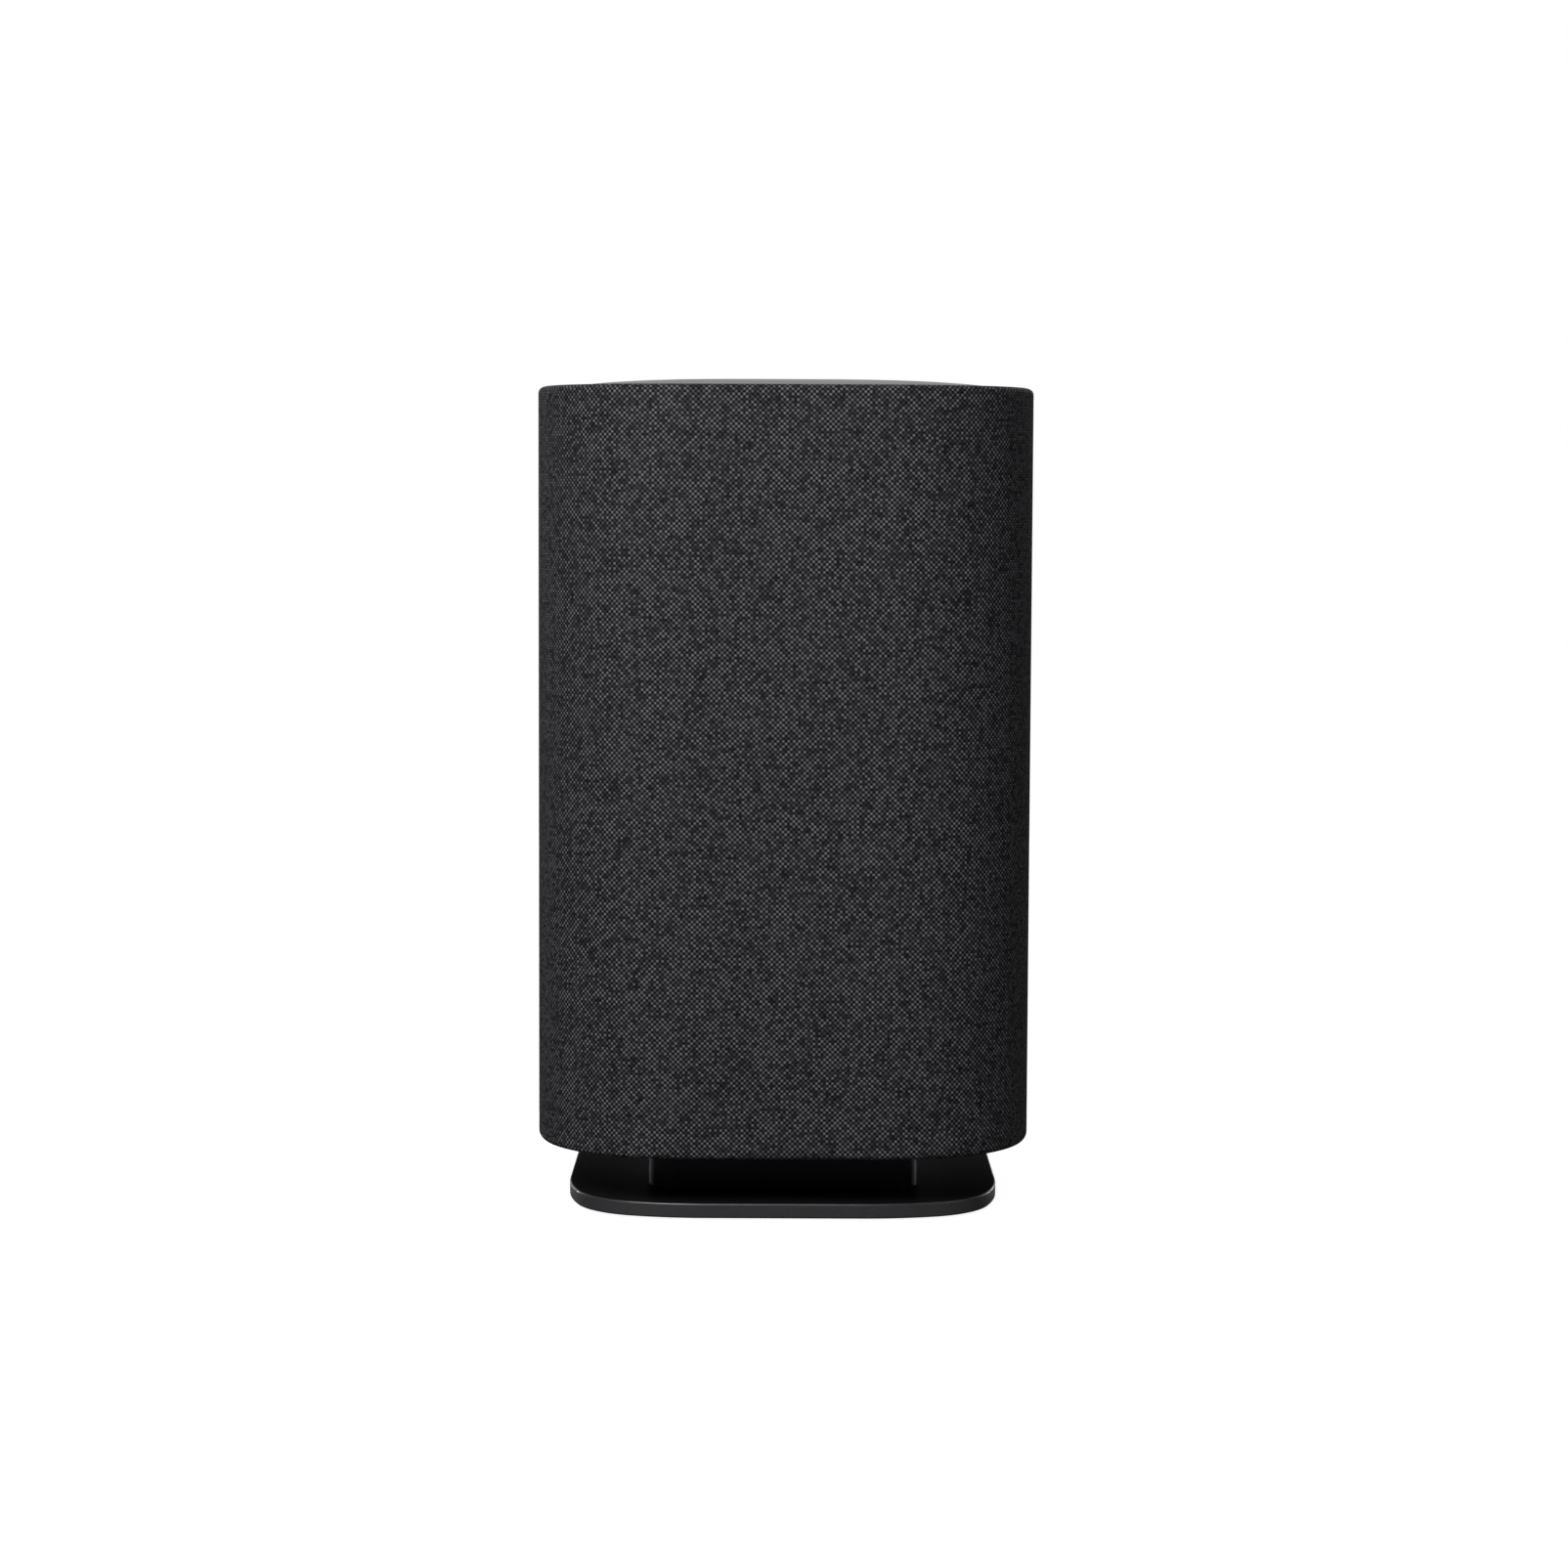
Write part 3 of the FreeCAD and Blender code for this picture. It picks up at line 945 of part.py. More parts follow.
def rear_panel():
    """A flat plate flush in the cloth, its flange behind the grille frame, with cut-outs for the sockets."""
    plate = rear_window(0, REAR_Y - REAR_T, REAR_Y)
    face_edges = [e for e in plate.Edges if all(abs(v.Y - REAR_Y) < 1e-4 for v in e.Vertexes)]
    plate = plate.makeChamfer(0.4, face_edges)
    posts = [rod(2.6, (x, IO_Y, z), BACK, REAR_IN_Y - IO_Y) for x, z in io_posts()]
    panel = plate.fuse([rear_window(REAR_FLANGE, REAR_IN_Y, REAR_Y - REAR_T)] + posts).removeSplitter()
    through, past = REAR_IN_Y - 1, REAR_Y + 1
    holes = [facing_block(INLET_W + FIT, INLET_H + FIT, 3.1, through, past, 0, REAR_Z + INLET_UP),
             facing_block(JACK_W + FIT, JACK_H + FIT, 0.6, through, past, 0, REAR_Z + JACK_UP),
             facing_block(USB_W + FIT, USB_H + FIT, USB_H / 2, through, past, -SMALL_X, REAR_Z + SMALL_UP),
             rod(BUTTON_R + BUTTON_GAP, (0, through, REAR_Z + BUTTON_UP), BACK, 10)]
    slot_w = SWITCH_W + SWITCH_TRAVEL + 2 * SWITCH_GAP
    holes.append(facing_block(slot_w, SWITCH_H + 2 * SWITCH_GAP, 0.8, through, past,
                              SMALL_X + SWITCH_TRAVEL / 2, REAR_Z + SMALL_UP))
    for x, z in io_posts():
        holes.append(rod(BOARD_SCREW["shank_r"], (x, IO_Y - 1, z), BACK, 5.0))
    for side in (-1, 1):
        for z in REAR_POST_Z:
            place = V(side * REAR_POST_X, REAR_Y, z)
            holes.append(rod(REAR_SCREW["shank_r"] + FIT, place + BACK, FRONT, 8.0))
            holes.append(Part.makeCone(REAR_SCREW["head_r"] + FIT, REAR_SCREW["shank_r"] + FIT,
                                       REAR_SCREW["head_h"], place, FRONT))
    return panel.cut(holes)


def rear_panel_screws():
    return [screw((side * REAR_POST_X, REAR_Y, z), FRONT, length=11.0, sunk=True, **REAR_SCREW)
            for side in (-1, 1) for z in REAR_POST_Z]


def power_inlet():
    """A two-pin mains inlet with a figure-of-eight cup."""
    z = REAR_Z + INLET_UP
    body = facing_block(INLET_W, INLET_H, 3.0, REAR_Y - INLET_DEPTH, REAR_Y, 0, z)
    mouth, floor = REAR_Y + 1, REAR_Y - INLET_DEPTH + 3.0
    cup = rod(PIN_CUP_R, (-PIN_PITCH / 2, floor, z), BACK, mouth - floor).fuse([
        rod(PIN_CUP_R, (PIN_PITCH / 2, floor, z), BACK, mouth - floor),
        slab((-PIN_PITCH / 2, floor, z - PIN_CUP_R * 0.86), (PIN_PITCH / 2, mouth, z + PIN_CUP_R * 0.86))])
    pins = [rod(PIN_R, (i * PIN_PITCH / 2, floor - 4, z), BACK, 5) for i in (-1, 1)]
    return body.cut([cup] + pins)


def inlet_pins():
    z = REAR_Z + INLET_UP
    start = REAR_Y - INLET_DEPTH - PIN_TAIL
    pins = []
    for side in (-1, 1):
        pin = rod(PIN_R, (side * PIN_PITCH / 2, start, z), BACK, PIN_TAIL + INLET_DEPTH - PIN_SUNK)
        tip = [e for e in pin.Edges if all(v.Y > start + 1 for v in e.Vertexes) and e.isClosed()]
        pins.append(pin.makeChamfer(0.4, tip))
    return pins


def network_jack():
    """A wired network socket: a shell with a stepped cavity and eight spring contacts."""
    z = REAR_Z + JACK_UP
    body = facing_block(JACK_W, JACK_H, 0.5, REAR_Y - JACK_DEPTH, REAR_Y, 0, z)
    mouth, floor = REAR_Y + 1, REAR_Y - 13.0
    cavity = slab((-5.9, floor, z - 4.6), (5.9, mouth, z + 2.4))
    latch = slab((-3.1, floor, z + 2.4), (3.1, mouth, z + 3.9))
    clip = slab((-1.6, floor, z + 3.9), (1.6, mouth, z + 5.1))
    shell = body.cut(cavity.fuse([latch, clip]).removeSplitter())
    contacts = [slab((x - 0.25, floor - 0.5, z - 4.7), (x + 0.25, REAR_Y - 4.0, z - 4.2))
                for x in (-3.57 + 1.02 * k for k in range(8))]
    return shell.fuse(contacts).removeSplitter()


def usb_port():
    """A small oval socket with its tongue."""
    z = REAR_Z + SMALL_UP
    back = REAR_Y - USB_DEPTH
    outer = facing_block(USB_W, USB_H, USB_H / 2 - 0.05, back, REAR_Y - 0.1, -SMALL_X, z)
    inner_w, inner_h = USB_W - 2 * USB_SHELL, USB_H - 2 * USB_SHELL
    inner = facing_block(inner_w, inner_h, inner_h / 2 - 0.05, back + 1.0, REAR_Y + 1, -SMALL_X, z)
    tongue = slab((-SMALL_X - 3.2, back + 0.5, z - 0.35), (-SMALL_X + 3.2, REAR_Y - 1.2, z + 0.35))
    pedestal = slab((-SMALL_X - 4, IO_Y, z - 1.5), (-SMALL_X + 4, back, z + 1.5))
    return outer.cut(inner).fuse([tongue, pedestal]).removeSplitter()


def pair_button():
    """A round push button, flush with the panel, held in by a flange behind it."""
    z = REAR_Z + BUTTON_UP
    cap = rod(BUTTON_R, (0, REAR_IN_Y - 1.5, z), BACK, REAR_Y - REAR_IN_Y + 1.5)
    face_edge = [e for e in cap.Edges if e.isClosed() and all(v.Y > REAR_Y - 0.1 for v in e.Vertexes)]
    cap = cap.makeChamfer(0.3, face_edge)
    flange = rod(BUTTON_R + 1.2, (0, REAR_IN_Y - 1.5, z), BACK, 1.35)
    stem = rod(1.2, (0, REAR_IN_Y - 4.5, z), BACK, 3.2)
    return cap.fuse([flange, stem]).removeSplitter()


def mic_switch():
    """The knob of the microphone slide switch, at the left end of its slot."""
    z = REAR_Z + SMALL_UP
    front, face = REAR_IN_Y - 1.6, REAR_Y - 0.4
    knob = slab((SMALL_X - SWITCH_W / 2, front, z - SWITCH_H / 2),
                (SMALL_X + SWITCH_W / 2, face, z + SWITCH_H / 2))
    rib = slab((SMALL_X - 0.4, face - 0.1, z - SWITCH_H / 2), (SMALL_X + 0.4, REAR_Y, z + SWITCH_H / 2))
    ribs = [rib.translated(V(dx, 0, 0)) for dx in (-1.2, 0, 1.2)]
    guide = slab((SMALL_X - SWITCH_W / 2 - 1, front, z - SWITCH_H / 2 - 1),
                 (SMALL_X + SWITCH_W / 2 + 1, front + 1.3, z + SWITCH_H / 2 + 1))
    return knob.fuse(ribs + [guide]).removeSplitter()


def io_board():
    """The socket board behind the rear panel, with the switches that button and knob work."""
    middle = REAR_Z + REAR_H / 2
    board = facing_block(IO_W, REAR_H - 2, 2.0, IO_Y - BOARD_T, IO_Y, 0, middle)
    button_z, small_z = REAR_Z + BUTTON_UP, REAR_Z + SMALL_UP
    plunger = REAR_IN_Y - 4.5 - BUTTON_TRAVEL - 0.1
    tact = slab((-3, IO_Y, button_z - 3), (3, plunger, button_z + 3))
    slide_top = REAR_IN_Y - 1.6 - 0.3
    slide = slab((SMALL_X - 4, IO_Y, small_z - 2.5), (SMALL_X + 6.5, slide_top, small_z + 2.5))
    board = board.fuse([tact, slide]).removeSplitter()
    holes = [rod(BOARD_SCREW["shank_r"] + 0.1, (x, IO_Y - BOARD_T - 1, z), BACK, BOARD_T + 2)
             for x, z in io_posts()]
    if INLET_DEPTH + PIN_TAIL > JACK_DEPTH:
        holes += [rod(PIN_R + 0.5, (i * PIN_PITCH / 2, IO_Y - BOARD_T - 1, REAR_Z + INLET_UP), BACK, 4)
                  for i in (-1, 1)]
    return board.cut(holes)


# ---- write every piece ----
PIECES = {
    "foot_pad": foot_pad, "base_plate": base_plate, "base_screws": base_screws, "neck": neck,
    "neck_screws": neck_screws, "bottom_cap": bottom_cap, "cap_screws": cap_screws,
    "grille_frame": grille_frame, "fabric_sleeve": fabric_sleeve, "top_panel": top_panel,
    "top_screws": top_screws, "control_tray": control_tray, "control_board": control_board,
    "board_screws": board_screws, "mic_gaskets": mic_gaskets, "status_lens": status_lens,
    "enclosure": enclosure, "front_baffle": front_baffle, "baffle_gasket": baffle_gasket,
    "baffle_screws": baffle_screws, "damping_pad": damping_pad, "bass_ports": bass_ports,
    "woofer_basket": woofer_basket, "woofer_top_plate": woofer_top_plate, "woofer_magnet": woofer_magnet,
    "woofer_yoke": woofer_yoke, "woofer_cone": woofer_cone, "woofer_dust_cap": woofer_dust_cap,
    "voice_coil": voice_coil, "woofer_surround": woofer_surround, "woofer_spider": woofer_spider,
    "woofer_screws": woofer_screws, "tweeter_plate": tweeter_plate, "tweeter_magnet": tweeter_magnet,
    "tweeter_dome": tweeter_dome, "tweeter_screws": tweeter_screws, "main_board": main_board,
    "power_board": power_board, "heat_sink": heat_sink, "wifi_antennas": wifi_antennas,
    "control_ribbon": control_ribbon, "driver_leads": driver_leads, "rear_panel": rear_panel,
    "rear_panel_screws": rear_panel_screws, "power_inlet": power_inlet, "inlet_pins": inlet_pins,
    "network_jack": network_jack, "usb_port": usb_port, "pair_button": pair_button,
    "mic_switch": mic_switch, "io_board": io_board,
}


def write(name, made):
    shape = Part.makeCompound(made) if isinstance(made, list) else made
    shape.exportStep(os.path.join("parts", name + ".step"))


os.makedirs("parts", exist_ok=True)
for piece, make in PIECES.items():
    write(piece, make())
for name in KEYS:
    write(name + "_key", key(name))
    write(name + "_dome", key_dome(name))
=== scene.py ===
import json
import math

import bmesh
import bpy
import numpy as np
from mathutils import Matrix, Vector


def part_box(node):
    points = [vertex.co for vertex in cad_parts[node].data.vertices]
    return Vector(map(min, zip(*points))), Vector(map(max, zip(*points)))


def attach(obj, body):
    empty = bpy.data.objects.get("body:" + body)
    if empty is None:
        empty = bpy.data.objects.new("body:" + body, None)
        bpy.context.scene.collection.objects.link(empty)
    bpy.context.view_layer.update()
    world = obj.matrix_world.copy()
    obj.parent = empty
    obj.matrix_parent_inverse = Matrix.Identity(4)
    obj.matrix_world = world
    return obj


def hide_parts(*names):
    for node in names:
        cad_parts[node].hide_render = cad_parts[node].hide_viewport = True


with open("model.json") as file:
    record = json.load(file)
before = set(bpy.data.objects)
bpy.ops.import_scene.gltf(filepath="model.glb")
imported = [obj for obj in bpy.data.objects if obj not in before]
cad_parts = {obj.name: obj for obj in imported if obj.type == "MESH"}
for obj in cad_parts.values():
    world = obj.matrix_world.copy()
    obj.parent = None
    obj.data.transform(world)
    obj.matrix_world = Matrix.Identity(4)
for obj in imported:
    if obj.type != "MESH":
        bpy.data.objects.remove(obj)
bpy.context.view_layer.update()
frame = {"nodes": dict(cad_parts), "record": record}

# A cloth-covered voice hub. Metres; X points right, Y back, Z up; the origin is under the middle of the base.
MM = 0.001

# ---- sizes, from the frame where it has them ----
sleeve_low, sleeve_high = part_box("fabric_sleeve")
panel_low, panel_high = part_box("rear_panel")
top_low, top_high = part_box("top_panel")
BASE_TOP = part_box("base_plate")[1].z
PANEL_EDGE = (top_high.x - top_low.x) / 2   # middle of the top panel to its edge
CROWN_APEX = sleeve_high.z + 2.7 * MM
CROWN_DROP, CROWN_POWER = 3.05 * MM, 3.4    # apex to the middle of an edge, and how square the crown is
SIGN_DEPTH, SIGN_REACH = 0.12 * MM, 3.3 * MM   # a key's sign is sunk deeper than this, and lies this near
COLUMN_W = sleeve_high.x - sleeve_low.x
COLUMN_FOOT, COLUMN_RIM = sleeve_low.z, sleeve_high.z
COLUMN_FLAT = 51.3 * MM          # straight length of each side
COLUMN_TURN, COLUMN_RATIO = 13.9, 1.69
CLOTH_T = 0.5 * MM
RIM_ROUND, FOOT_ROUND = 1.8 * MM, 1.5 * MM
RIM_TUCK, FOOT_TUCK = 3.4 * MM, 3.7 * MM   # where the cloth's turned-in edges end, from its outside
PANEL_FLANGE = 3.0 * MM          # hidden border of the rear panel
WINDOW_GAP = 0.2 * MM            # cloth's edge to the rear panel
WINDOW_CORNER = 5.2 * MM
WINDOW_ROUND = 0.6 * MM          # how the cloth turns in round the window
WINDOW_TUCK = 0.9 * MM
WINDOW_MARGIN = 4.0 * MM         # height of the finer cells above and below the window
THREADS_ROUND = 670              # warp threads round the column, drawn a third coarser than they are

# ---- the room: where the camera and the lights are ----
CAMERA_AT, FOCAL_LENGTH, SENSOR_W = (-0.00129, -1.0679, 0.20276), 84.05, 36.0
CAMERA_YAW, CAMERA_TILT, CAMERA_ROLL = -0.0011363, 0.0798022, 0.0043094
FRONT_GLOW, BACK_GLOW = 0.02, 1.0   # how bright the room is to the hub, towards the front and the back
GLOW_FOOT, GLOW_HEAD = 0.05, 0.17   # the glow rises from none to full between these slopes
FLOOR_REACH = 3.0
# each light's name, place, the point it faces, width, height, watts, and spread in degrees
LIGHTS = [
    ("key_light", (-0.36, -0.84, 0.75), (0, 0, 0.12), 0.40, 0.40, 7.6, 180.0),
    ("left_light", (-0.90, -0.70, 0.30), (0, 0, 0.14), 0.25, 0.25, 0.30, 180.0),
    ("right_light", (0.95, -0.55, 0.45), (0, 0, 0.10), 0.35, 0.35, 0.75, 180.0),
    ("back_light", (0.0, 1.1, 0.14), (0, 0, 0.12), 0.14, 0.14, 0.3, 180.0),
    ("rim_light", (-0.78, 1.05, 0.010), (0, 0, 0.010), 0.14, 0.010, 0.002, 1.0),
    ("rim_light", (0.78, 1.05, 0.010), (0, 0, 0.010), 0.14, 0.010, 0.002, 1.0),
]


# ---- shape helpers ----
def soft_square(width, flat, turn, ratio):
    """The outline of a square with soft corners, as a function of the distance along it, and its length.

    Each corner is a wide arc that turns by a few degrees, a tight arc, and the wide arc again, all tangent;
    the wide radius is a fixed ratio of the tight one. Distance starts at the middle of the back side and
    runs anticlockwise from above. The function gives the points, moved in by an inset along their normals.
    """
    half, a = width / 2, math.radians(turn)
    sine, cosine = math.sin(a), math.cos(a)
    tight = (half - flat / 2) / (ratio * (sine + 1 - cosine) + cosine - sine)
    wide = tight * ratio
    first = np.array([half - wide, flat / 2])
    second = first + np.array([cosine, sine]) * (wide - tight)
    third = second - np.array([sine, cosine]) * (wide - tight)
    lengths = [flat / 2, wide * a, tight * (math.pi / 2 - 2 * a), wide * a, flat / 2]
    starts = np.concatenate([[0], np.cumsum(lengths)])
    quarter = starts[-1]

    def outline(u, inset=0.0):
        turns, s = np.divmod(u, quarter)
        span = np.clip(np.searchsorted(starts, s, side="right") - 1, 0, 4)
        angle = np.choose(span, [0 * s, (s - starts[1]) / wide, a + (s - starts[2]) / tight,
                                 math.pi / 2 - a + (s - starts[3]) / wide, 0 * s + math.pi / 2])
        normal = np.stack([np.cos(angle), np.sin(angle)], -1)
        centre = np.choose(span[:, None], [np.stack([0 * s, s], -1), first, second, third,
                                           np.stack([quarter - s, 0 * s], -1)])
        radius = np.choose(span, [half, wide, tight, wide, half])
        local = centre + normal * (radius - inset)[:, None]
        heading = math.pi / 2 * (turns + 1)
        c, d = np.cos(heading), np.sin(heading)
        return np.stack([local[:, 0] * c - local[:, 1] * d, local[:, 0] * d + local[:, 1] * c], -1)

    return outline, 4 * quarter


def steps(marks, most):
    """Rising numbers that meet every mark, with gaps no larger than most, one value for each stretch."""
    parts = []
    for a, b, gap in zip(marks, marks[1:], np.broadcast_to(most, len(marks) - 1)):
        count = max(1, math.ceil((b - a) / gap - 1e-6))
        parts.append(np.linspace(a, b, count, endpoint=False))
    return np.concatenate(parts + [[marks[-1]]])


def grid_faces(numbers):
    """Four-sided faces between neighbours in a table of vertex numbers."""
    near, far = numbers[:-1], numbers[1:]
    return np.stack([near[:, :-1], far[:, :-1], far[:, 1:], near[:, 1:]], -1).reshape(-1, 4)


def plane_with_holes(xs, ys, holes, rim, rings=4):
    """A grid over xs and ys, where each hole's block of cells is a web of rings round the hole.

    A hole is its block (x0, x1, y0, y1), centre, half sizes and corner radius. A point of the block's
    border is joined to the nearest point of the hole's outline: its place, held within the outline's core
    rectangle, plus the corner radius along what is left. rim lists the rings that turn down into the
    hole, as (growth, depth, run). Returns points (x, y, depth), faces, and flat places, which go on by
    the run as the surface turns down.
    """
    x, y = np.meshgrid(xs, ys, indexing="ij")
    numbers = np.arange(x.size).reshape(x.shape)
    kept = np.ones((len(xs) - 1, len(ys) - 1), bool)
    points = [np.stack([x.ravel(), y.ravel(), 0 * x.ravel()], -1)]
    flat = [points[0][:, :2]]
    faces, count = [], x.size
    for (x0, x1, y0, y1), centre, half, corner in holes:
        i0, i1 = np.abs(xs - x0).argmin(), np.abs(xs - x1).argmin()
        j0, j1 = np.abs(ys - y0).argmin(), np.abs(ys - y1).argmin()
        kept[i0:i1, j0:j1] = False
        border = np.concatenate([numbers[i0:i1, j0], numbers[i1, j0:j1],
                                 numbers[i1:i0:-1, j1], numbers[i0, j1:j0:-1]])
        place = points[0][border, :2] - centre
        limit = np.array(half) - corner
        core = np.clip(place, -limit, limit)
        out = place - core
        out /= np.linalg.norm(out, axis=1)[:, None]
        grown = core + out * (corner + rim[0][0])
        loops = [border]
        for t in np.linspace(0, 1, rings + 1)[1:-1]:
            loops.append(np.arange(count, count + len(border)))
            spot = centre + place * (1 - t) + grown * t
            points.append(np.column_stack([spot, np.zeros(len(border))]))
            flat.append(spot)
            count += len(border)
        for growth, depth, run in rim:
            loops.append(np.arange(count, count + len(border)))
            spot = centre + core + out * (corner + growth)
            points.append(np.column_stack([spot, np.full(len(border), depth)]))
            flat.append(centre + core + out * (corner + rim[0][0] - run))
            count += len(border)
        table = np.array(loops).T
        faces.append(grid_faces(np.vstack([table, table[:1]])))
    cells = grid_faces(numbers).reshape(len(xs) - 1, len(ys) - 1, 4)[kept]
    return np.concatenate(points), np.concatenate([cells] + faces), np.concatenate(flat)


def rounded_rim(radius, depth, count=4):
    """Rings of a quarter round of that radius, then straight down to a depth, as (growth, depth, run)."""
    turn = np.linspace(0, math.pi / 2, count + 1)
    rim = [(radius * (1 - math.sin(t)), radius * (1 - math.cos(t)), radius * t) for t in turn]
    return rim + [(0.0, depth, radius * math.pi / 2 + depth - radius)]


def new_piece(name, points, faces, body, flat=None):
    """A smooth mesh from arrays, riding on a body. flat places, in metres, become its UV map."""
    mesh = bpy.data.meshes.new(name)
    mesh.from_pydata(points.tolist(), [], faces.tolist())
    if flat is not None:
        corners = np.zeros(len(mesh.loops), np.int32)
        mesh.loops.foreach_get("vertex_index", corners)
        mesh.uv_layers.new(name="flat").data.foreach_set("uv", flat[corners].astype(np.float32).ravel())
    joined = bmesh.new()
    joined.from_mesh(mesh)
    bmesh.ops.remove_doubles(joined, verts=joined.verts, dist=1e-6)
    joined.to_mesh(mesh)
    joined.free()
    mesh.shade_smooth()
    piece = bpy.data.objects.new(name, mesh)
    bpy.context.scene.collection.objects.link(piece)
    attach(piece, body)
    return piece


# ---- material helpers ----
def new_group(name, inputs, outputs):
    """An empty shader node group with named sockets, given as (name, type, value)."""
    group = bpy.data.node_groups.new(name, "ShaderNodeTree")
    for label, kind, value in inputs:
        socket = group.interface.new_socket(label, in_out="INPUT", socket_type="NodeSocket" + kind)
        if value is not None:
            socket.default_value = value
    for label, kind in outputs:
        group.interface.new_socket(label, in_out="OUTPUT", socket_type="NodeSocket" + kind)
    return group, group.nodes.new("NodeGroupInput").outputs, group.nodes.new("NodeGroupOutput").inputs


class Wiring:
    """Short ways to place nodes in one tree and link them."""

    def __init__(self, tree):
        self.tree = tree

    def put(self, socket, value):
        if isinstance(value, bpy.types.NodeSocket):
            self.tree.links.new(value, socket)
        else:
            socket.default_value = value

    def node(self, kind, values=(), **settings):
        made = self.tree.nodes.new("ShaderNode" + kind)
        for key, value in settings.items():
            setattr(made, key, value)
        for key, value in dict(values).items():
            self.put(made.inputs[key], value)
        return made

    def math(self, operation, a, b=0.0, c=0.0, clamp=False):
        made = self.node("Math", {0: a, 1: b, 2: c}, operation=operation, use_clamp=clamp)
        return made.outputs[0]

    def blend(self, share, a, b):
        made = self.node("Mix", data_type="RGBA")
        for socket, value in zip((made.inputs[0], made.inputs[6], made.inputs[7]), (share, a, b)):
            self.put(socket, value)
        return made.outputs[2]

    def between(self, value, low, high):
        """Maps 0 to low and 1 to high."""
        return self.math("MULTIPLY_ADD", value, high - low, low)

    def noise(self, place, size, detail=2.0, stretch=None):
        """Cloudy noise whose lumps are about size across, in metres, drawn out by stretch."""
        if stretch:
            place = self.node("Mapping", {"Vector": place, "Scale": stretch}).outputs[0]
        return self.node("TexNoise", {"Vector": place, "Scale": 1 / size, "Detail": detail}).outputs[0]

    def group(self, tree, values):
        made = self.tree.nodes.new("ShaderNodeGroup")
        made.node_tree = tree
        for key, value in values.items():
            self.put(made.inputs[key], value)
        return made.outputs


def grey(level, tint=(1.0, 1.0, 1.0)):
    return tuple(level * t for t in tint) + (1.0,)


def make_weave():
    """A plain weave: light and dark threads cross, and each thread and each crossing differs a little.

    With one thread to each unit, the product of the sines of both places is above 0 where the warp
    lies on top and below 0 where the weft does, in a chequer. Thread tone is noise that is drawn out
    along the thread, and crossing tone is white noise on the crossing's number.
    """
    group, given, result = new_group(
        "plain_weave",
        [("Threads", "Vector", None), ("Slub", "Float", 0.5)],
        [("On Top", "Float"), ("Tone", "Float"), ("Height", "Float")])
    w = Wiring(group)
    split = w.node("SeparateXYZ", {0: given["Threads"]}).outputs
    across, up = split[0], split[1]
    wave = w.math("MULTIPLY", w.math("SINE", w.math("MULTIPLY", across, math.pi)),
                  w.math("SINE", w.math("MULTIPLY", up, math.pi)))
    w.put(result["On Top"], w.math("MULTIPLY_ADD", wave, 0.5, 0.5))
    column, row = w.math("FLOOR", across), w.math("FLOOR", up)
    crossing = w.node("CombineXYZ", {0: column, 1: row, 2: 0.0}).outputs[0]
    single = w.node("TexWhiteNoise", {0: crossing}, noise_dimensions="3D").outputs[0]

    def thread_tone(x, across_step, y, up_step, layer):
        place = w.node("CombineXYZ", {0: w.math("MULTIPLY", x, across_step),
                                      1: w.math("MULTIPLY", y, up_step), 2: layer}).outputs[0]
        return w.node("TexNoise", {"Vector": place, "Scale": 1.0, "Detail": 2.0}).outputs[0]

    # big steps from thread to thread, small ones along a thread
    warp = thread_tone(column, 7.3, up, 0.09, 0.0)
    weft = thread_tone(across, 0.07, row, 5.9, 9.0)
    uneven = w.math("SUBTRACT", w.math("ADD", warp, weft), 1.0)
    mixed = w.math("MULTIPLY_ADD", uneven, w.math("MULTIPLY", given["Slub"], 2.6), 0.5)
    w.put(result["Tone"], w.math("MULTIPLY_ADD", w.math("SUBTRACT", single, 0.5), 0.85, mixed, clamp=True))
    w.put(result["Height"], w.math("ABSOLUTE", wave))
    return group


def make_grain():
    """Moulded grain: fine noise for pits, broad noise for how evenly it shines, and cells for specks."""
    group, given, result = new_group(
        "moulded_grain",
        [("Place", "Vector", None), ("Size", "Float", 0.3 * MM)],
        [("Pits", "Float"), ("Cloud", "Float"), ("Speck", "Float")])
    w = Wiring(group)
    fine = w.node("TexNoise", {"Vector": given["Place"], "Scale": w.math("DIVIDE", 1.0, given["Size"]),
                               "Detail": 3.0, "Roughness": 0.6}).outputs[0]
    w.put(result["Pits"], fine)
    w.put(result["Cloud"], w.noise(given["Place"], 22 * MM, 3.0))
    lumps = w.node("TexVoronoi", {"Vector": given["Place"],
                                  "Scale": w.math("DIVIDE", 0.7, given["Size"])}).outputs
    w.put(result["Speck"], w.node("SeparateColor", {0: lumps["Color"]}).outputs[0])
    return group


def make_brushed():
    """Fine scratches along one axis: noise squeezed hard across it."""
    group, given, result = new_group(
        "brushed",
        [("Place", "Vector", None)],
        [("Scratch", "Float"), ("Cloud", "Float")])
    w = Wiring(group)
    w.put(result["Scratch"], w.noise(given["Place"], 0.25 * MM, 2.0, (1.0, 0.03, 1.0)))
    w.put(result["Cloud"], w.noise(given["Place"], 9 * MM, 2.0))
    return group


WEAVE, GRAIN, BRUSHED = make_weave(), make_grain(), make_brushed()


def new_material(name, **fixed):
    """A material with one Principled shader, whose even values are set on its own sockets."""
    made = bpy.data.materials.new(name)
    made.use_nodes = True
    shader = made.node_tree.nodes["Principled BSDF"]
    for key, value in fixed.items():
        shader.inputs[key.replace("_", " ")].default_value = value
    return made, Wiring(made.node_tree), shader


def place_of(w, kind="Object"):
    return w.node("TexCoord").outputs[kind]


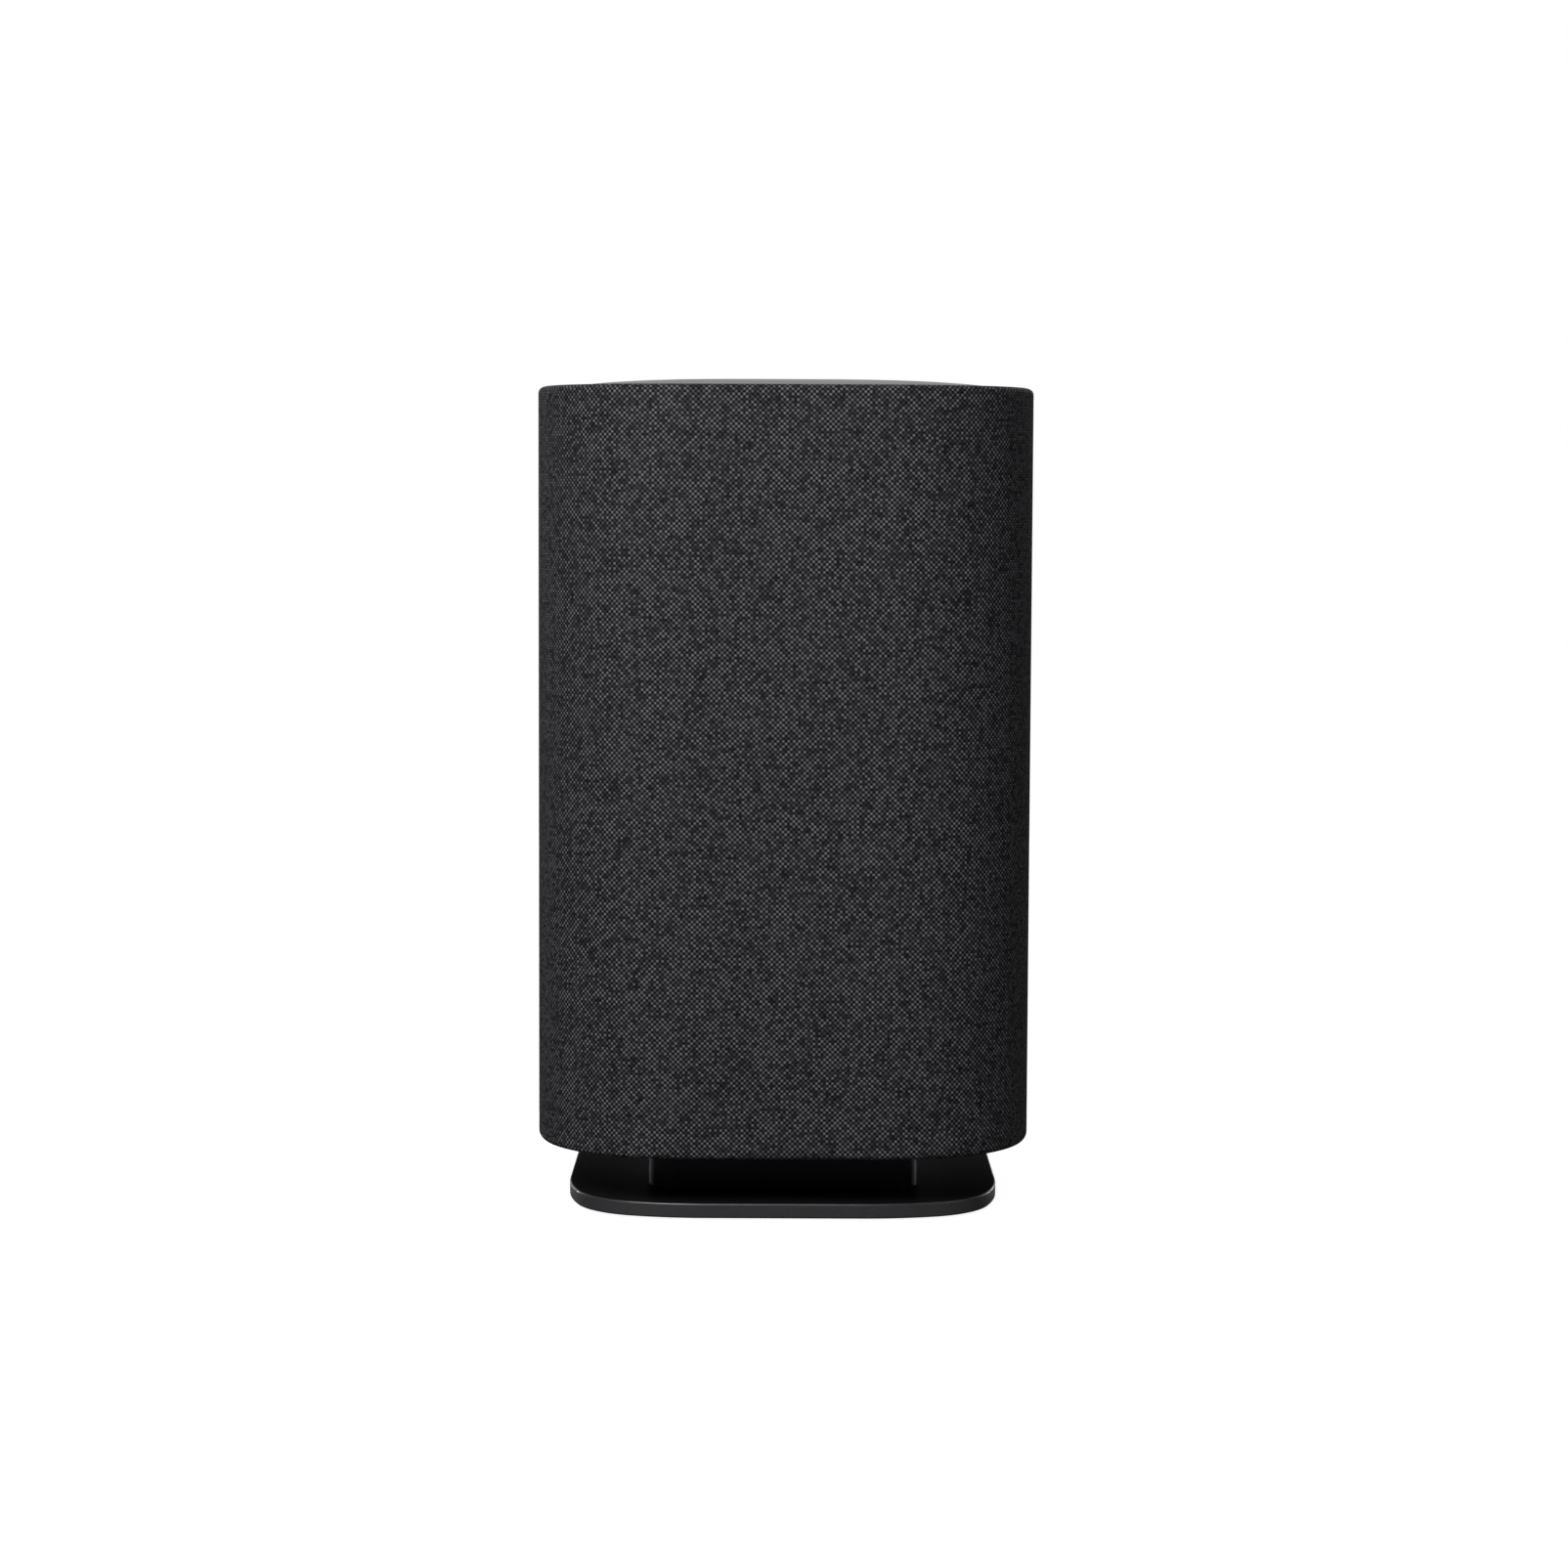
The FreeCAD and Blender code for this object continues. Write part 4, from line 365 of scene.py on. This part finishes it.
def cloth_material():
    """The weave on the cloth's own flat places, light where a warp thread lies on top."""
    made, w, shader = new_material("cloth", Sheen_Weight=0.01, Sheen_Roughness=0.4, Specular_IOR_Level=0.15)
    count = (THREADS_PER_METRE, THREADS_PER_METRE, 1.0)
    places = w.node("Mapping", {"Vector": place_of(w, "UV"), "Scale": count})
    weave = w.group(WEAVE, {"Threads": places.outputs[0], "Slub": 0.15})
    fleck = w.math("POWER", weave["On Top"], 2.4)
    light = w.math("MULTIPLY", fleck, w.between(weave["Tone"], 0.08, 1.55), clamp=True)
    yarn = w.blend(light, grey(0.0012, (0.98, 0.97, 1.1)), grey(0.285, (0.98, 0.97, 1.075)))
    w.put(shader.inputs["Base Color"], yarn)
    w.put(shader.inputs["Roughness"], w.between(fleck, 0.62, 0.5))
    bump = w.node("Bump", {"Height": weave["Height"], "Distance": 0.12 * MM, "Strength": 0.6})
    w.put(shader.inputs["Normal"], bump.outputs[0])
    return made


def moulded(name, level, tint, shine, size, depth, speck=0.0, **fixed):
    """Plastic, paint or rubber with a moulded grain, whose size and depth are in millimetres."""
    made, w, shader = new_material(name, **fixed)
    grain = w.group(GRAIN, {"Place": place_of(w), "Size": size * MM})
    tone = w.blend(grain["Cloud"], grey(level * 0.85, tint), grey(level * 1.15, tint))
    if speck:
        bright = w.math("MULTIPLY", w.math("POWER", grain["Speck"], 6.0), speck)
        tone = w.blend(bright, tone, grey(min(1.0, level * 6), tint))
    w.put(shader.inputs["Base Color"], tone)
    w.put(shader.inputs["Roughness"], w.between(grain["Cloud"], *shine))
    bump = w.node("Bump", {"Height": grain["Pits"], "Distance": depth * MM, "Strength": 1.0})
    w.put(shader.inputs["Normal"], bump.outputs[0])
    return made


def metal(name, level, tint, shine):
    """Bare or plated metal with fine scratches."""
    made, w, shader = new_material(name, Metallic=1.0)
    brushed = w.group(BRUSHED, {"Place": place_of(w)})
    tone = w.blend(brushed["Cloud"], grey(level * 0.88, tint), grey(level, tint))
    w.put(shader.inputs["Base Color"], tone)
    w.put(shader.inputs["Roughness"], w.between(brushed["Scratch"], *shine))
    bump = w.node("Bump", {"Height": brushed["Scratch"], "Distance": 0.004 * MM, "Strength": 1.0})
    w.put(shader.inputs["Normal"], bump.outputs[0])
    return made


def board_material(name, axis, low, high):
    """Green solder mask with faint tracks. What stands clear of the board along an axis is a dark part."""
    made, w, shader = new_material(name, Coat_Weight=0.2, Coat_Roughness=0.2)
    place = place_of(w)
    along = w.node("SeparateXYZ", {0: place}).outputs[axis]
    part = w.math("MAXIMUM", w.math("GREATER_THAN", along, high), w.math("LESS_THAN", along, low))
    cells = w.node("TexBrick", {"Vector": place, "Scale": 130.0, "Mortar Size": 0.06, "Color1": grey(0.0),
                                "Color2": grey(0.0), "Mortar": grey(1.0)}).outputs[0]
    track = w.blend(cells, (0.006, 0.06, 0.028, 1), (0.012, 0.12, 0.055, 1))
    chip = w.blend(w.noise(place, 6 * MM), grey(0.015), grey(0.03))
    w.put(shader.inputs["Base Color"], w.blend(part, track, chip))
    w.put(shader.inputs["Roughness"], w.between(w.noise(place, 2 * MM), 0.3, 0.5))
    return made


def base_material():
    """Satin black metal on the base plate's side and rounded edge; the top face has little coat, and its
    colour is painted shade: near black, darker than the side, standing in for the shade under the column.
    """
    made, w, shader = new_material("base_metal", Specular_IOR_Level=0.0, Coat_Roughness=0.38, Coat_IOR=1.9)
    place = place_of(w)
    grain = w.group(GRAIN, {"Place": place, "Size": 0.16 * MM})
    height = w.node("SeparateXYZ", {0: place}).outputs[2]
    # mask of the top face, which lies under the column and gets the painted shade below
    shaded_top_face = w.math("GREATER_THAN", height, BASE_TOP - 0.02 * MM)
    speck = w.math("MULTIPLY", w.math("POWER", grain["Speck"], 6.0), 0.2)
    side = w.blend(speck, grey(0.045, (1, 0.97, 1.06)), grey(0.2, (1, 0.97, 1.06)))
    # painted shade: the top face is coloured near black, darker than the side, for the shade cast by the
    # column above it
    w.put(shader.inputs["Base Color"], w.blend(shaded_top_face, side, grey(0.012)))
    w.put(shader.inputs["Roughness"], w.between(grain["Cloud"], 0.5, 0.6))
    w.put(shader.inputs["Coat Weight"], w.between(shaded_top_face, 1.0, 0.05))
    bump = w.node("Bump", {"Height": grain["Pits"], "Distance": 0.003 * MM, "Strength": 1.0})
    w.put(shader.inputs["Normal"], bump.outputs[0])
    return made


def key_material(node):
    """A black key whose sign is pale: what is sunk below the crowned top, near the key's middle.

    The crown falls from its apex by CROWN_DROP times |x| and |y|, as shares of the panel's half width,
    each to the power CROWN_POWER.
    """
    made, w, shader = new_material(node)
    place = place_of(w)
    grain = w.group(GRAIN, {"Place": place, "Size": 0.18 * MM})
    low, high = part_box(node)
    axes = w.node("SeparateXYZ", {0: place}).outputs
    drops = [w.math("POWER", w.math("MULTIPLY", w.math("ABSOLUTE", axes[k]), 1 / PANEL_EDGE), CROWN_POWER)
             for k in (0, 1)]
    crown = w.math("MULTIPLY_ADD", w.math("ADD", *drops), -CROWN_DROP, CROWN_APEX)
    sunk = w.math("LESS_THAN", axes[2], w.math("SUBTRACT", crown, SIGN_DEPTH))
    middle = ((low.x + high.x) / 2, (low.y + high.y) / 2, 0.0)
    flat_place = w.node("VectorMath", {0: place, 1: (1.0, 1.0, 0.0)}, operation="MULTIPLY").outputs[0]
    reach = w.node("VectorMath", {0: flat_place, 1: middle}, operation="DISTANCE").outputs["Value"]
    sign = w.math("MULTIPLY", sunk, w.math("LESS_THAN", reach, SIGN_REACH))
    w.put(shader.inputs["Base Color"], w.blend(sign, grey(0.026, (1, 1, 1.05)), grey(0.42)))
    w.put(shader.inputs["Roughness"], w.between(grain["Cloud"], 0.32, 0.40))
    bump = w.node("Bump", {"Height": grain["Pits"], "Distance": 0.004 * MM, "Strength": 1.0})
    w.put(shader.inputs["Normal"], bump.outputs[0])
    return made


def fibre_material(name, level, tint, size, stretch, depth=0.05):
    """Pressed or loose fibres: noise drawn out one way."""
    made, w, shader = new_material(name)
    fibre = w.noise(place_of(w), size * MM, 5.0, stretch)
    tone = w.blend(fibre, grey(level * 0.6, tint), grey(min(1, level * 1.35), tint))
    w.put(shader.inputs["Base Color"], tone)
    w.put(shader.inputs["Roughness"], w.between(fibre, 0.8, 0.95))
    w.put(shader.inputs["Normal"], w.node("Bump", {"Height": fibre, "Distance": depth * MM}).outputs[0])
    return made


# ---- the cloth ----
column_outline, COLUMN_ROUND = soft_square(COLUMN_W, COLUMN_FLAT, COLUMN_TURN, COLUMN_RATIO)
THREADS_PER_METRE = THREADS_ROUND / COLUMN_ROUND


def sleeve_profile(s, marks):
    """Inset and height along the cloth's section.

    It comes out under the foot, goes round to the side at a to b, up to c, round to the top at d, and in.
    """
    a, b, c, d = marks
    low_turn = (s - a) / FOOT_ROUND
    high_turn = (s - c) / RIM_ROUND
    where = [s < a, s < b, s < c, s < d]
    inset = np.select(where, [FOOT_TUCK - s, FOOT_ROUND * (1 - np.sin(low_turn)), 0 * s,
                              RIM_ROUND * (1 - np.cos(high_turn))], RIM_ROUND + s - d)
    height = np.select(where, [COLUMN_FOOT + 0 * s, COLUMN_FOOT + FOOT_ROUND * (1 - np.cos(low_turn)),
                               COLUMN_FOOT + FOOT_ROUND + s - b,
                               COLUMN_RIM - RIM_ROUND * (1 - np.sin(high_turn))], COLUMN_RIM)
    return inset, height


def cloth_sleeve():
    """The cloth, stretched round the column: the outline carried along the section, with a window."""
    a = FOOT_TUCK - FOOT_ROUND
    b = a + FOOT_ROUND * math.pi / 2
    c = b + COLUMN_RIM - RIM_ROUND - COLUMN_FOOT - FOOT_ROUND
    d = c + RIM_ROUND * math.pi / 2
    end = d + RIM_TUCK - RIM_ROUND
    side = COLUMN_FLAT / 2
    window_foot = b + panel_low.z + PANEL_FLANGE - COLUMN_FOOT - FOOT_ROUND
    window_head = b + panel_high.z - PANEL_FLANGE - COLUMN_FOOT - FOOT_ROUND
    block_foot, block_head = window_foot - WINDOW_MARGIN, window_head + WINDOW_MARGIN
    coarse = 3.0 * MM
    us = steps([-side, side, COLUMN_ROUND - side], [1.3 * MM, 1.9 * MM])
    ss = steps([0, a, b, block_foot, block_head, c, d, end],
               [0.8 * MM, 0.3 * MM, coarse, 2.0 * MM, coarse, 0.35 * MM, 0.8 * MM])
    half = ((panel_high.x - panel_low.x) / 2 - PANEL_FLANGE + WINDOW_GAP,
            (window_head - window_foot) / 2 + WINDOW_GAP)
    block = (-side, side, block_foot, block_head)
    hole = (block, (0, (window_foot + window_head) / 2), half, WINDOW_CORNER)
    places, faces, flat = plane_with_holes(us, ss, [hole], rounded_rim(WINDOW_ROUND, WINDOW_TUCK))
    inset, height = sleeve_profile(places[:, 1], (a, b, c, d))
    spots = column_outline(places[:, 0], inset + places[:, 2])
    piece = new_piece("cloth_sleeve", np.column_stack([spots, height]), faces, "root", flat)
    wall = piece.modifiers.new("thickness", "SOLIDIFY")
    wall.thickness, wall.offset = CLOTH_T, -1.0
    piece.data.materials.append(cloth_material())
    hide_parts("fabric_sleeve")


cloth_sleeve()

# ---- finishes of the frame's own parts ----
FINISHES = {
    "panel": moulded("panel", 0.028, (1, 1, 1.05), (0.30, 0.38), 0.18, 0.004),
    "base_metal": base_material(),
    "black_plastic": moulded("black_plastic", 0.016, (1, 1, 1.03), (0.22, 0.30), 0.25, 0.003),
    "dark_plastic": moulded("dark_plastic", 0.04, (1, 1, 1.04), (0.5, 0.6), 0.4, 0.012),
    "rubber": moulded("rubber", 0.02, (1, 1, 1), (0.75, 0.9), 0.5, 0.02),
    "silicone": moulded("silicone", 0.5, (1, 1, 1), (0.4, 0.5), 0.6, 0.004, Subsurface_Weight=0.2),
    "steel": metal("steel", 0.6, (1, 1, 1.02), (0.25, 0.4)),
    "black_steel": moulded("black_steel", 0.025, (1, 1, 1.02), (0.35, 0.45), 0.12, 0.004, Metallic=0.6),
    "ferrite": moulded("ferrite", 0.06, (1, 1, 1.06), (0.55, 0.7), 0.2, 0.02, speck=0.3),
    "aluminium": metal("aluminium", 0.78, (1, 1, 1.02), (0.3, 0.45)),
    "copper": metal("copper", 0.75, (1.0, 0.5, 0.28), (0.25, 0.35)),
    "cone_paper": fibre_material("cone_paper", 0.045, (1, 0.97, 0.94), 0.5, (1.0, 1.0, 3.0)),
    "dome_silk": moulded("dome_silk", 0.03, (1, 1, 1.1), (0.5, 0.6), 0.12, 0.01, Sheen_Weight=0.3),
    "wadding": fibre_material("wadding", 0.7, (1, 1, 0.96), 1.2, (1.0, 4.0, 1.0), depth=0.4),
    "lens": moulded("lens", 0.75, (0.95, 0.98, 1.03), (0.2, 0.3), 0.8, 0.002, Subsurface_Weight=0.3),
    "contact": metal("contact", 0.8, (1.0, 0.86, 0.55), (0.15, 0.25)),
    "socket_plastic": moulded("socket_plastic", 0.016, (1, 1, 1.02), (0.4, 0.5), 0.3, 0.006),
}


def board_finish(node, axis, low_off, high_off):
    """The board lies along an axis between its box's ends, moved in by these millimetres."""
    low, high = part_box(node)
    return board_material("board_" + node, axis, low[axis] + low_off * MM, high[axis] - high_off * MM)


BOARDS = {
    "control_board": board_finish("control_board", 2, 1.7, 1.2),
    "main_board": board_finish("main_board", 1, -1.0, 3.5),
    "power_board": board_finish("power_board", 1, -1.0, 11.9),
    "io_board": board_finish("io_board", 1, -1.0, 5.0),
}
KEYS = {name: key_material(name) for name in frame["nodes"] if name.endswith("_key")}
for row in frame["record"]["subparts"]:
    name = row["node"]
    finish = BOARDS.get(name) or KEYS.get(name) or FINISHES.get(row["material_slot"])
    if finish is not None:
        worn = frame["nodes"][name].data.materials
        worn.clear()
        worn.append(finish)


# ---- camera, light, floor ----
def camera():
    """Just above the middle of the column, about a metre away, looking slightly down."""
    lens = bpy.data.cameras.new("camera")
    lens.sensor_width, lens.lens, lens.clip_start = SENSOR_W, FOCAL_LENGTH, 0.01
    made = bpy.data.objects.new("camera", lens)
    bpy.context.scene.collection.objects.link(made)
    turn = Matrix.Rotation(CAMERA_YAW, 4, "Z") @ Matrix.Rotation(math.pi / 2 - CAMERA_TILT, 4, "X")
    made.matrix_world = Matrix.Translation(CAMERA_AT) @ turn @ Matrix.Rotation(CAMERA_ROLL, 4, "Z")
    bpy.context.scene.camera = made


def soft_light(name, place, aim, width, height, power, spread):
    """A soft box that faces a point."""
    lamp = bpy.data.lights.new(name, "AREA")
    lamp.shape, lamp.size, lamp.size_y, lamp.energy = "RECTANGLE", width, height, power
    lamp.spread = math.radians(spread)
    made = bpy.data.objects.new(name, lamp)
    bpy.context.scene.collection.objects.link(made)
    made.location = place
    bpy.context.view_layer.update()
    away = made.location - Matrix.Translation(aim).translation
    made.rotation_euler = away.to_track_quat("Z", "Y").to_euler()


def studio():
    """A white room: pure white where it is seen directly, and dimmer where it lights the hub."""
    world = bpy.data.worlds.new("studio")
    bpy.context.scene.world = world
    world.use_nodes = True
    w = Wiring(world.node_tree)
    seen = w.node("LightPath").outputs["Is Camera Ray"]
    back = world.node_tree.nodes["Background"]
    back.inputs["Color"].default_value = grey(1.0)
    towards = w.node("SeparateXYZ", {0: w.node("TexCoord").outputs["Generated"]}).outputs
    behind = w.math("POWER", w.math("MULTIPLY_ADD", towards[1], 0.5, 0.5, clamp=True), 6.0)
    above = w.node("MapRange", {"Value": towards[2], "From Min": GLOW_FOOT, "From Max": GLOW_HEAD},
                   interpolation_type="SMOOTHSTEP")
    raised = w.math("MULTIPLY", behind, above.outputs[0])
    glow = w.math("MULTIPLY_ADD", raised, BACK_GLOW - FRONT_GLOW, FRONT_GLOW)
    w.put(back.inputs["Strength"], w.math("MAXIMUM", seen, glow))
    for light in LIGHTS:
        soft_light(*light)
    mesh = bpy.data.meshes.new("floor")
    reach = FLOOR_REACH
    mesh.from_pydata([(-reach, -reach, 0), (reach, -reach, 0), (reach, reach, 0), (-reach, reach, 0)], [],
                     [(0, 1, 2, 3)])
    floor = bpy.data.objects.new("floor", mesh)
    bpy.context.scene.collection.objects.link(floor)
    paint, w, shader = new_material("floor", Roughness=0.9, Specular_IOR_Level=0.0)
    seen = w.node("LightPath").outputs["Is Camera Ray"]
    w.put(shader.inputs["Base Color"], w.blend(seen, grey(0.12), grey(0.8)))
    shader.inputs["Emission Color"].default_value = grey(1.0)
    w.put(shader.inputs["Emission Strength"], w.between(seen, 0.0, 0.93))
    mesh.materials.append(paint)


camera()
studio()
bpy.context.scene.view_settings.view_transform = "Standard"
